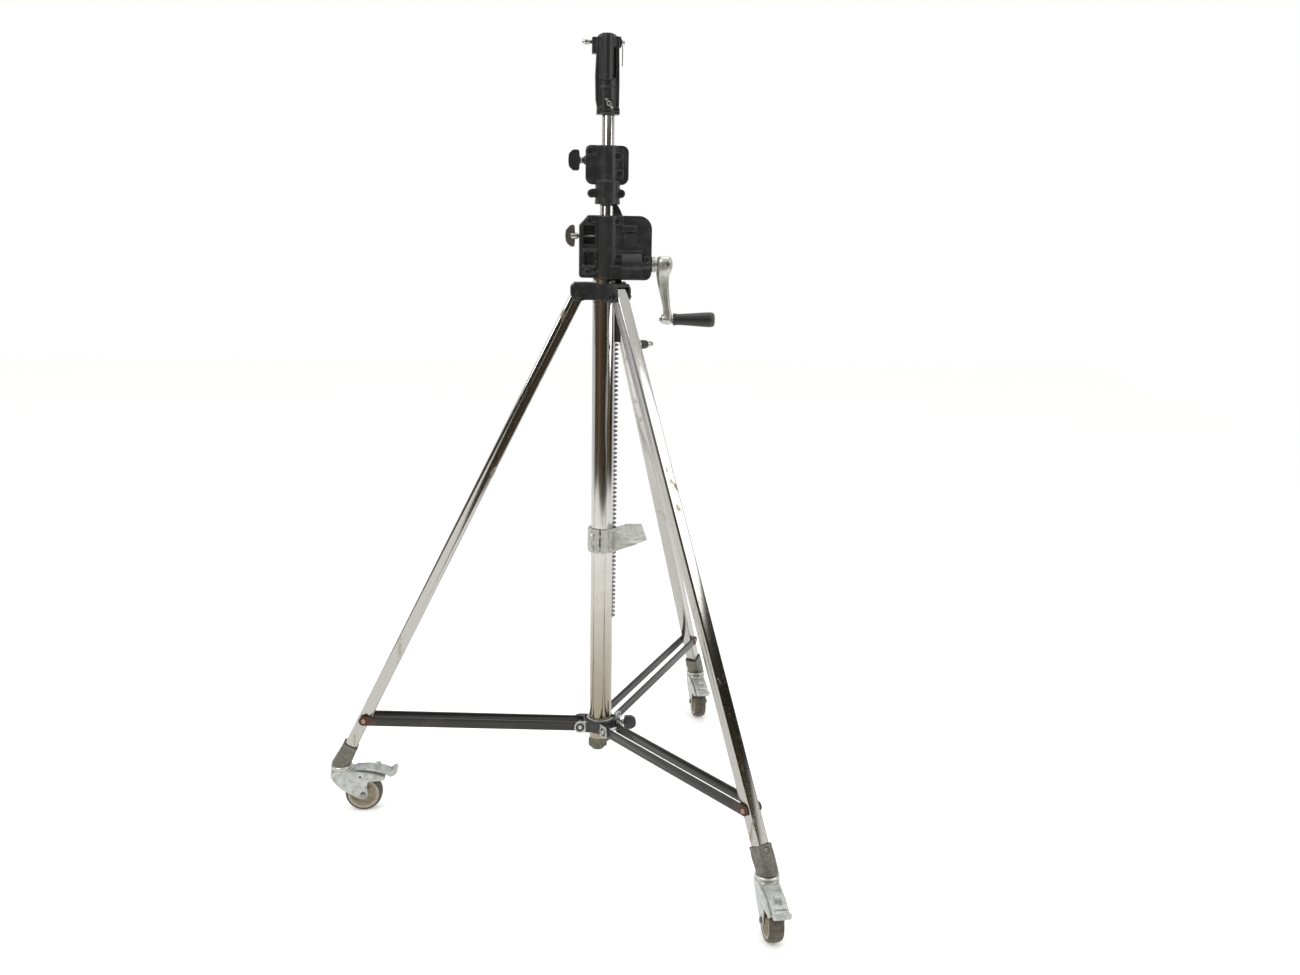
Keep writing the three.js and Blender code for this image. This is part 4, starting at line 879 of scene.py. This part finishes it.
def make_hub():
    bottom, top = HUB_PIVOT_Z - 13, HUB_TOP
    ring = lathe([(0, bottom), (31, bottom), (32.6, bottom + 1.5), (32.6, top - 4), (31, top - 1),
                  (29.5, top), (0, top)])
    slot = box(15, 31.5, -SLOT_HALF, SLOT_HALF, bottom - 5, top + 5)
    bore = [rod_z(COLUMN_R + 0.45, bottom - 5, top + 5), slot, rod_x(4.5, 15, 60, HUB_LOCK.y, HUB_LOCK.z)]
    shapes = [ring, box(20, 43, HUB_LOCK.y - 6, HUB_LOCK.y + 6, HUB_PIVOT_Z - 4, top - 0.3)]
    for n in NUMBERS:
        root = [box(18, 34, s * EAR_Y - 1.6, s * EAR_Y + 1.6, bottom, top - 3) for s in (-1, 1)]
        shapes += all_turned(root, spoke(n))
    build("strut_hub_ring", "hub", BLACK, shapes, bore, voxel=0.8, soften=3)
    rim = lathe([(COLUMN_R + 0.6, top - 0.4), (28.8, top - 0.4), (28.8, top + 0.6), (27.6, top + 1.1),
                 (COLUMN_R + 0.6, top + 1.1)], 96)
    build("strut_hub_worn_rim", "hub", ZINC, [rim], [slot], bevel=0.2)

    plates, dark, rivets = [], [], []
    outline = filleted([(24, bottom, 3), (HUB_PIVOT_R + 13, bottom - 0.2, 11),
                        (HUB_PIVOT_R + 12.6, HUB_PIVOT_Z + 13, 12), (30, HUB_PIVOT_Z + 13, 5),
                        (24, HUB_PIVOT_Z + 4, 3)], 10)
    for n in NUMBERS:
        for s in (-1, 1):
            low, high = sorted((s * (EAR_Y - 1.5), s * (EAR_Y + 1.5)))
            plates.append(prism(outline, low, high).turned(spoke(n)))
            face = Matrix.Translation((HUB_PIVOT_R, s * (EAR_Y + 1.2), HUB_PIVOT_Z)) @ spin(-90 * s, "X")
            at = spoke(n) @ face
            pressed = lathe([(9.3, 0), (12.2, 0), (12.0, 1.1), (10.8, 1.7), (9.5, 1.1)], 48)
            plates.append(pressed.turned(at))
            # a dark disc on the plate face inside each pressed ring, round the rivet
            dark.append(lathe([(0, 0), (9.4, 0), (9.2, 0.6), (0, 0.6)], 40).turned(at))
            head = lathe([(0, 0), (4.9, 0), (4.9, 1), (4.0, 2.3), (2.4, 3.2), (0, 3.4)], 32)
            rivets.append(head.turned(at))
        rivets.append(rod_y(4, -EAR_Y, EAR_Y, HUB_PIVOT_R, HUB_PIVOT_Z).turned(spoke(n)))
    build("strut_hub_ears", "hub", ZINC, plates, replaces=["strut_hub"], bevel=0.35)
    build("strut_hub_ear_dark_discs", "hub", BLACK_BOLT, dark)
    build("strut_hub_rivets", "hub", CHROME_SMALL, rivets)
    boss = [rod_x(7.4, 36, 43.8, HUB_LOCK.y, HUB_LOCK.z, 0.8)]
    build("strut_hub_threaded_boss", "hub", CREAM, boss, [rod_x(4.5, 30, 60, HUB_LOCK.y, HUB_LOCK.z)],
          bevel=0.3)


# ---------------------------------------------------------------- foot step
STEP_LOW, STEP_HIGH = extent("foot_step")
CLAMP_LOW, CLAMP_HIGH = extent("step_clamp")
SPLIT_X = STEP_LOW.x
TREAD_TOP, STUD_PITCH = 627.0, 9.6
STEP_BOLTS = [(s * 30.5, z) for s in (-1, 1) for z in (598.5, 624.5)]


def tread_stud(x, y):
    return lathe([(0, -1), (3.4, -1), (3.1, 0.5), (2.2, 1.3), (0, 1.6)], 20).moved(x, y, TREAD_TOP)


def make_step():
    bottom, top = STEP_LOW.z, STEP_HIGH.z
    ears = filleted([(SPLIT_X, -37, 2), (6, -37, 5), (24, -27, 6), (24, 27, 6), (6, 37, 5), (SPLIT_X, 37, 2)])
    band = rod_z(31, bottom, top, chamfer=1.2)
    root = 20                                 # where the tread leaves the band
    plan = filleted([(root, -26, 4), (56, -62.5, 8), (90.5, -63.5, 4), (90.5, 63.5, 4), (56, 62.5, 8),
                     (root, 26, 4)])
    levels = [(1.0, TREAD_TOP), (1.0, TREAD_TOP - 2.5), (0.93, TREAD_TOP - 6)]
    rings = [[Vector((root + (x - root) * k, y * k, z)) for x, y in plan] for k, z in levels]
    rings.append([Vector((root + (x - root) * 0.82, y * 0.7, TREAD_TOP - (14 if x > 50 else 22)))
                  for x, y in plan])          # the underside rises towards the outer edge
    low, high, outer = bottom + 2, top - 4, TREAD_TOP - 3
    web = loft([[Vector((22, y, z)) for y, z in ((-25, low), (25, low), (25, high), (-25, high))],
                [Vector((72, y, z)) for y, z in ((-36, 608), (36, 608), (36, outer), (-36, outer))]])
    shapes = [band, prism_z(ears, bottom + 2, top - 2), loft(rings), web]
    around = [rod_z(COLUMN_R + 0.3, bottom - 1, top + 1),
              box(15, 31.5, -SLOT_HALF, SLOT_HALF, bottom - 1, top + 1)]
    behind = box(-60, SPLIT_X, -60, 60, bottom - 5, top + 5)
    holes = [rod_x(3.4, -30, 20, y, z) for y, z in STEP_BOLTS]
    build("foot_step_casting", "base", ALLOY, shapes, [behind, *around, *holes], ["foot_step"],
          voxel=1.0, soften=3)

    studs = [tread_stud(56.5 + row * STUD_PITCH, -57.6 + column * STUD_PITCH)
             for row in range(4) for column in range(13)]
    studs += [tread_stud(46.9 - STUD_PITCH * k, STUD_PITCH * j) for k in (0, 1) for j in range(-4 + k, 5 - k)]
    build("foot_step_studs", "base", ALLOY, studs)

    left = CLAMP_LOW.x
    strap = filleted([(CLAMP_HIGH.x, -37, 2), (-16, -37, 5), (-26, -26, 8), (-26, 26, 8), (-16, 37, 5),
                      (CLAMP_HIGH.x, 37, 2)])
    ahead = box(CLAMP_HIGH.x, 60, -60, 60, bottom - 5, top + 5)
    waist = [rod_y(9, -60, -33.5, -13, 611.5), rod_y(9, 33.5, 60, -13, 611.5)]
    shapes = [rod_z(-left, bottom, top, chamfer=1.2), prism_z(strap, bottom + 2, top - 2)]
    build("step_clamp_casting", "base", ALLOY, shapes, [ahead, *around, *holes, *waist], ["step_clamp"],
          voxel=1.0, soften=3)
    bolts = [hex_bolt(5.2, 4.4).turned(towards((-21.5, y, z), (-60, y, z))) for y, z in STEP_BOLTS]
    nuts = [hex_bolt(4.9, 4.4).turned(towards((13.5, y, z), (60, y, z))) for y, z in STEP_BOLTS]
    shafts = [rod_x(3.0, -21.5, 14, y, z) for y, z in STEP_BOLTS]
    build("step_clamp_bolts", "base", CHROME_SMALL, [*bolts, *nuts, *shafts])


# ---------------------------------------------------------------- legs, feet and struts


def hull(points):
    """The convex solid round some points."""
    work = bmesh.new()
    for p in points:
        work.verts.new(p)
    bmesh.ops.convex_hull(work, input=work.verts[:])
    bmesh.ops.delete(work, geom=[v for v in work.verts if not v.link_faces], context="VERTS")
    work.verts.index_update()
    shape = Shape([v.co.copy() for v in work.verts], [[v.index for v in f.verts] for f in work.faces])
    work.free()
    return shape


def leg_frame(n):
    """Leg n's own frame: its top pivot is the origin and -Z runs down the tube."""
    pivot = Matrix.Translation((LEG_PIVOT_R, 0, LEG_PIVOT_Z))
    return spoke(n) @ pivot @ Matrix.Rotation(-LEG_TILT, 4, "Y")


def strut_frame(n):
    """The struts of leg n: the hub's pivot is the origin and X runs out to the leg's pin."""
    pivot = Matrix.Translation((HUB_PIVOT_R, 0, HUB_PIVOT_Z))
    return spoke(n) @ pivot @ Matrix.Rotation(-STRUT_LIFT, 4, "Y")


def square(half, corner, z):
    corners = [(half, half, corner), (-half, half, corner), (-half, -half, corner), (half, -half, corner)]
    return [Vector((x, y, z)) for x, y in filleted(corners, steps=5)]


def make_leg_tube(n):
    place = leg_frame(n)
    half, inner = LEG_SIDE / 2, LEG_SIDE / 2 - 2.0
    corner, inner_corner = 3.6, 1.8
    tube = loft([square(half, corner, LEG_ABOVE), square(half, corner, -LEG_LENGTH),
                 square(inner, inner_corner, -LEG_LENGTH), square(inner, inner_corner, LEG_ABOVE)],
                closed=True)
    holes = [rod_y(4.3, -20, 20, 0, z) for z in (0, -STRUT_PIN_AT)]
    build(f"leg_{n}_chromed", f"leg_{n}", CHROME_LEG, [tube.turned(place)], all_turned(holes, place),
          [f"leg_tube_{n}"], bevel=0.25)


def make_leg_foot(n):
    """The cast foot: a square sleeve on the tube that runs into a round base over the caster's stem."""
    stem = joint_at(f"caster_{n}_swivel").xy.length
    upright = spoke(n)
    place = leg_frame(n)
    turn_back = upright.inverted() @ place

    def sleeve(down_leg, reach):
        return [turn_back @ p for p in square(reach, 4, -down_leg)]

    def disc(radius, low, high):
        return [Vector((stem + radius * math.cos(a), radius * math.sin(a), z))
                for z in (low, high) for a in angles(40)]

    shapes = [hull(sleeve(1106, 16.6) + disc(20.7, 108.1, 112.3)),
              hull(sleeve(1088, 15.8) + sleeve(1106, 16.6)),
              hull(sleeve(1087, 16.2) + sleeve(1090.5, 16.6)), hull(disc(19.5, 107.7, 113.6))]
    tube_reach = LEG_SIDE / 2 + 0.3
    cuts = [hull(sleeve(1060, tube_reach) + sleeve(LEG_LENGTH + 0.3, tube_reach)),
            rod_z(6.4, 100, 118.5, stem), rod_x(5.9, 14.3, 24, 0.05, -1097.4).turned(turn_back)]
    build(f"leg_{n}_foot_casting", f"leg_{n}", FOOT, all_turned(shapes, upright), all_turned(cuts, upright),
          [f"leg_foot_{n}"], voxel=0.7, soften=3)
    outward = Matrix.Translation((14.2, 0, -1097.5)) @ spin(90, "Y")
    screw = hex_bolt(4.4, 2.2, socket=True).turned(place @ outward)
    build(f"leg_{n}_foot_screw", f"leg_{n}", CHROME_SMALL, [screw])


def make_struts(n):
    """Two flat bars with round ends, one on each side of leg n."""
    place = strut_frame(n)
    half = 10
    turns = [math.pi * k / 16 for k in range(17)]
    inner_end = [(half * math.sin(-a), -half * math.cos(-a)) for a in turns]
    outer_end = [(STRUT_LENGTH + half * math.sin(a), -half * math.cos(a)) for a in turns]
    for side, sign in (("right", -1), ("left", 1)):
        near, far = sorted((sign * STRUT_NEAR, sign * STRUT_FAR))
        bar = prism([*outer_end, *inner_end[::-1]], near, far)
        build(f"strut_{side}_{n}_bar", f"strut_{n}", BLACK_STEEL, [bar.turned(place)],
              [rod_y(4.3, near - 1, far + 1, 0, 0).turned(place)], [f"strut_{side}_{n}"],
              bevel=0.6)
        head = lathe([(0, 0), (4.9, 0), (4.9, 0.8), (4.0, 2.0), (2.4, 2.7), (0, 2.9)], 32)
        outward = Matrix.Translation((STRUT_LENGTH, sign * STRUT_FAR, 0)) @ spin(-90 * sign, "X")
        build(f"strut_{side}_{n}_rivet", f"strut_{n}", RIVET, [head.turned(place @ outward)])


def make_leg_knob():
    """The small knob near the top of leg 2, on its right-hand side."""
    at = leg_frame(2) @ Matrix.Translation((0, LEG_SIDE / 2, -102.7)) @ spin(-90, "X")
    washer = lathe([(0, 0), (5.2, 0), (5.2, 1.6), (9.2, 1.8), (9.2, 3.4), (5.2, 3.6), (5.2, 6), (0, 6)], 40)
    build("leg_2_knob_washer", "leg_2", CHROME_SMALL, [washer.turned(at)])
    profile = [(0, 4.6), (6.5, 4.6), (8.2, 6), (9, 10), (8.8, 17), (7.8, 21), (6.2, 23.2), (0, 23.5)]
    build("leg_2_knob", "leg_2", BLACK, [lathe(profile, 48).turned(at)], bevel=0.3)
    tip = lathe([(0, 20), (6.2, 20), (7.0, 22.5), (6.6, 27), (5.6, 32), (3.8, 36.5), (0, 38)], 48)
    flats = [box(-9, 9, s * 4.6 - 3 + 3 * s, s * 4.6 + 3 + 3 * s, 24, 40) for s in (-1, 1)]
    build("leg_2_knob_tip", "leg_2", CHROME_SMALL, [tip.turned(at)], all_turned(flats, at),
          bevel=0.5)


# ---------------------------------------------------------------- casters


def make_caster(n):
    swivel, hub = joint_at(f"caster_{n}_swivel"), joint_at(f"wheel_{n}_roll")
    trail = (hub - swivel).xy.length
    heading = math.atan2(hub.y - swivel.y, hub.x - swivel.x)
    place = Matrix.Translation((swivel.x, swivel.y, 0)) @ Matrix.Rotation(heading, 4, "Z")    # X trails
    caster, wheel, brake = f"caster_{n}", f"wheel_{n}", f"brake_{n}"

    plate = filleted([(-22, 95.5, 6), (28, 95.5, 6), (60, 91.5, 8), (96, 80, 3), (91, 72.5, 4), (57, 70.5, 7),
                      (54.5, 60, 6), (56, 42, 8), (51.5, 32, 8), (44, 29.6, 5), (34, 33, 9), (-2, 55, 14),
                      (-17.5, 74, 12), (-22, 86, 6)])
    hollow = prism([(-30, 84), (28, 91), (59, 88), (110, 71), (110, 0), (-30, 0)], -16.6, 16.6)
    shapes = [prism(plate, -19.4, 19.4), rod_z(18.5, 86, 95), rod_z(6, 90, 117, chamfer=0.6),
              lathe([(0, 98), (10, 98), (10, 101.6), (8, 103.4), (0, 103.4)])]
    cuts = [hollow, rod_y(4.3, -30, 30, trail, WHEEL_R), rod_y(2.5, -30, 30, 41, 82.5)]
    cup = lathe([(0, 90), (18.8, 90), (22.6, 91.4), (24, 93.6), (24, 96), (22.8, 97.8), (21.2, 98.6),
                 (21.2, 99.8), (23, 100.6), (23.8, 102.4), (23.2, 105), (21.6, 106.8), (19.5, 107.4),
                 (18.6, 106), (0, 106)], 96)
    build(f"caster_{n}_bearing_cup", caster, CUP, [cup.turned(place)],
          bevel=0.15, sharp=50)
    build(f"caster_{n}_fork_pressing", caster, ZINC, all_turned(shapes, place), all_turned(cuts, place),
          [f"caster_fork_{n}"], voxel=0.6)

    around = place @ Matrix.Translation((trail, 0, WHEEL_R)) @ spin(-90, "X")
    nuts = []
    for s in (-1, 1):
        out = spin(0 if s > 0 else 180, "X")
        nut = hex_bolt(5.8, 3.6) + lathe([(0, 3.6), (3.6, 3.6), (3.6, 4.3), (0, 4.5)], 24)
        nuts.append(nut.turned(around @ out @ Matrix.Translation((0, 0, 19.5))))
    nuts.append(lathe([(0, -20), (4, -20), (4, 20), (0, 20)], 32).turned(around))
    build(f"caster_{n}_axle_and_nuts", caster, STEEL, nuts, replaces=[f"caster_axle_{n}"],
          bevel=0.2)

    half = [(4.3, 15), (9, 15), (9.8, 14.2), (10.6, 9.2), (12.4, 8), (23, 7.2), (25.5, 8.6), (27, 11),
            (30.9, 11.6)]
    core = lathe([(r, -h) for r, h in half] + half[::-1], 96)
    pockets = [box(14, 22.5, -2.1, 2.1, -12, -6.4).turned(spin(45 * k, "Z"))
               for k in range(8)]
    pockets += [p.turned(spin(180, "X")) for p in pockets]
    build(f"caster_{n}_wheel_core", wheel, CORE, [core.turned(around)], all_turned(pockets, around),
          [f"caster_wheel_{n}"], bevel=0.35)
    ring = lathe([(28.6, -12.4), (31.4, -13.2), (33.4, -13.6), (33.4, -12), (28.8, -11.2)], 96)
    build(f"caster_{n}_wheel_ring", wheel, RING, all_turned([ring, ring.turned(spin(180, "X"))], around),
          bevel=0.2)
    half = [(31.2, 12.3), (33.6, 12.8), (34.6, 13.9), (36.4, 13.9), (38.2, 11.6), (39.4, 8.4), (39.9, 5),
            (40, 0)]
    tread = [(r, -h) for r, h in half] + half[-2::-1]
    grooves = [lathe([(39.3, h - 0.5), (41, h - 0.5), (41, h + 0.5), (39.3, h + 0.5)], 96)
               for h in (-4.5, 4.5)]
    build(f"caster_{n}_tyre_worn", wheel, TYRE, [lathe(tread, 128).turned(around)],
          all_turned(grooves, around), [f"caster_tyre_{n}"], bevel=0.3)

    lever = filleted([(30, 96.6, 1), (54, 95.4, 8), (72, 92.2, 8), (90, 86.4, 4), (99, 82, 5),
                      (105, 78.2, 4), (113, 82, 6), (120.6, 90, 2), (119, 97.6, 1.5), (112, 95, 4),
                      (105, 89, 5), (92, 95.6, 6), (73, 99.4, 8), (54, 101, 8), (30, 100.4, 2)])
    tab = filleted([(71, 92, 1), (84.5, 90, 1), (84.5, 104, 3), (81, 108, 3), (75, 108, 4), (71, 102, 3)])
    shapes = [prism(lever, -14.9, 14.9), prism(tab, -6.6, 6.6)]
    recess = [prism([(33, 98.9), (60, 98.9), (60, 110), (33, 110)], -11.2, 11.2),
              prism([(96.5, 90.8), (107, 86.4), (113.8, 93.2), (100, 104)], -11.2, 11.2),
              prism([(36, 90), (70, 90), (70, 92.8), (54, 94.6), (36, 95.2)], -12.6, 12.6)]
    build(f"brake_{n}_pedal_pressing", brake, ZINC, all_turned(shapes, place), all_turned(recess, place),
          [f"brake_pedal_{n}"], voxel=0.6, soften=3)


# ---------------------------------------------------------------- CAD nodes that stay visible


def keep_nodes():
    """Better looks and softened edges for the CAD nodes that no piece replaces."""
    looks = {"rack": STEEL, "rack_guard": BLACK_BOLT, "pinion_shaft": STEEL, "worm_wheel": BRONZE,
             "riser_guide_bush": NYLON, "worm_bush": BRONZE, **{f"strut_pin_{n}": STEEL for n in NUMBERS}}
    for node, look in looks.items():
        obj = frame["nodes"][node]
        for slot in obj.material_slots:
            slot.material = look
        add(obj, "WELD", merge_threshold=0.02 * MM)
        add(obj, "BEVEL", width=0.35 * MM, segments=2, limit_method="ANGLE",
            angle_limit=math.radians(30))


make_column()
make_risers()
make_yoke()
make_gearbox()
make_worm_hub()
make_collar()
make_socket()
make_hand_screws()
make_crank()
make_hub()
make_step()
for number in NUMBERS:
    make_leg_tube(number)
    make_leg_foot(number)
    make_struts(number)
    make_caster(number)
make_leg_knob()
keep_nodes()


# ---------------------------------------------------------------- floor, studio and camera
def make_floor():
    """White paper on the floor; it glows a little so that it stays as white as the backdrop."""
    mesh = bpy.data.meshes.new("floor")
    mesh.from_pydata([(-3.2, -2.6, 0), (3.2, -2.6, 0), (5, 8, 0), (-5, 8, 0)], [], [(0, 1, 2, 3)])
    floor = bpy.data.objects.new("floor", mesh)
    bpy.context.scene.collection.objects.link(floor)
    n = Nodes("studio_floor")
    colour = n.mix(n.noise(900, 3), (0.93, 0.93, 0.925), (0.90, 0.90, 0.895))
    n.shader.inputs["Emission Color"].default_value = (1.0, 0.995, 0.985, 1)
    n.shader.inputs["Emission Strength"].default_value = 0.30
    mesh.materials.append(n.finish(colour, 0.9, 0.0))


def make_world():
    """The camera sees plain white; chrome sees a dark brown room, a pale ceiling and a white backdrop."""
    scene = bpy.context.scene
    world = bpy.data.worlds.new("studio")
    scene.world = world
    world.use_nodes = True
    tree = world.node_tree
    tree.nodes.clear()

    def node(kind, inputs=None, **settings):
        made = tree.nodes.new("ShaderNode" + kind)
        for key, value in settings.items():
            setattr(made, key, value)
        for key, value in (inputs or {}).items():
            if isinstance(value, bpy.types.NodeSocket):
                tree.links.new(value, made.inputs[key])
            else:
                made.inputs[key].default_value = value
        return made

    way = node("TexCoord").outputs["Generated"]
    across, depth, height = node("SeparateXYZ", {0: way}).outputs

    def step(value, low, high):
        inputs = {"Value": value, "From Min": low, "From Max": high}
        return node("MapRange", inputs, interpolation_type="SMOOTHSTEP").outputs[0]

    def over(amount, colour, paint):
        mixed = node("Mix", {0: amount, 6: colour}, data_type="RGBA")
        mixed.inputs[7].default_value = (*paint, 1)
        return mixed.outputs[2]

    def patch(azimuth, elevation, wide, soft):
        """1 inside a cone round a direction, falling to 0 at its soft edge (degrees)."""
        a, e = math.radians(azimuth), math.radians(elevation)
        centre = (math.cos(e) * math.cos(a), math.cos(e) * math.sin(a), math.sin(e))
        dot = node("VectorMath", {0: way, 1: centre}, operation="DOT_PRODUCT").outputs["Value"]
        return step(dot, math.cos(math.radians(wide + soft)), math.cos(math.radians(wide)))

    room = node("Mix", {0: step(across, -0.7, 0.6)}, data_type="RGBA")
    room.inputs[6].default_value = (0.115, 0.078, 0.050, 1)
    room.inputs[7].default_value = (0.030, 0.026, 0.016, 1)
    colour = room.outputs[2]
    for azimuth, elevation, wide, soft, paint in ((-137, 2, 6, 9, (0.20, 0.12, 0.075)),
                                                  (-68, 0, 2.5, 3, (0.75, 0.74, 0.70)),
                                                  (-38, -4, 5, 9, (0.16, 0.12, 0.07))):
        colour = over(patch(azimuth, elevation, wide, soft), colour, paint)
    colour = over(step(height, 0.36, 0.56), colour, (1.0, 0.99, 0.96))          # pale ceiling
    colour = over(step(depth, 0.02, 0.22), colour, (0.96, 0.98, 1.0))           # white backdrop
    studio = node("Background", {"Color": colour, "Strength": 0.85})
    plain = node("Background", {"Color": (1, 1, 1, 1), "Strength": 1.0})
    seen = node("LightPath").outputs["Is Camera Ray"]
    both = node("MixShader", {0: seen, 1: studio.outputs[0], 2: plain.outputs[0]})
    node("OutputWorld", {"Surface": both.outputs[0]})
    scene.view_settings.view_transform = "Standard"


def area_light(name, place, aim, size, power):
    light = bpy.data.lights.new(name, "AREA")
    light.shape, light.size, light.energy = "DISK", size, power
    obj = bpy.data.objects.new(name, light)
    obj.location = place
    obj.rotation_euler = (Vector(aim) - Vector(place)).to_track_quat("-Z", "Y").to_euler()
    bpy.context.scene.collection.objects.link(obj)


def make_camera():
    data = bpy.data.cameras.new("camera")
    data.lens, data.sensor_width, data.sensor_fit = 32.06, 36, "HORIZONTAL"
    camera = bpy.data.objects.new("camera", data)
    bpy.context.scene.collection.objects.link(camera)
    ahead = Vector((0.099565, 0.968434, -0.228521)).normalized()
    roll = math.radians(1.13)
    right = ahead.cross(Vector((0, 0, 1))).normalized()
    up = right.cross(ahead)
    turned_right = math.cos(roll) * right + math.sin(roll) * up
    turned_up = math.cos(roll) * up - math.sin(roll) * right
    axes = Matrix((turned_right, turned_up, -ahead)).transposed()
    camera.matrix_world = Matrix.Translation((-0.14351, -2.37360, 1.28289)) @ axes.to_4x4()
    bpy.context.scene.camera = camera


make_floor()
make_world()
area_light("key", (-1.9, -1.7, 2.9), (0, 0, 0.7), 1.6, 36)
area_light("fill", (2.4, -1.2, 1.8), (0, 0, 0.7), 1.4, 16)
area_light("top", (0.2, 0.6, 3.6), (0, 0, 0.8), 2.2, 26)
make_camera()
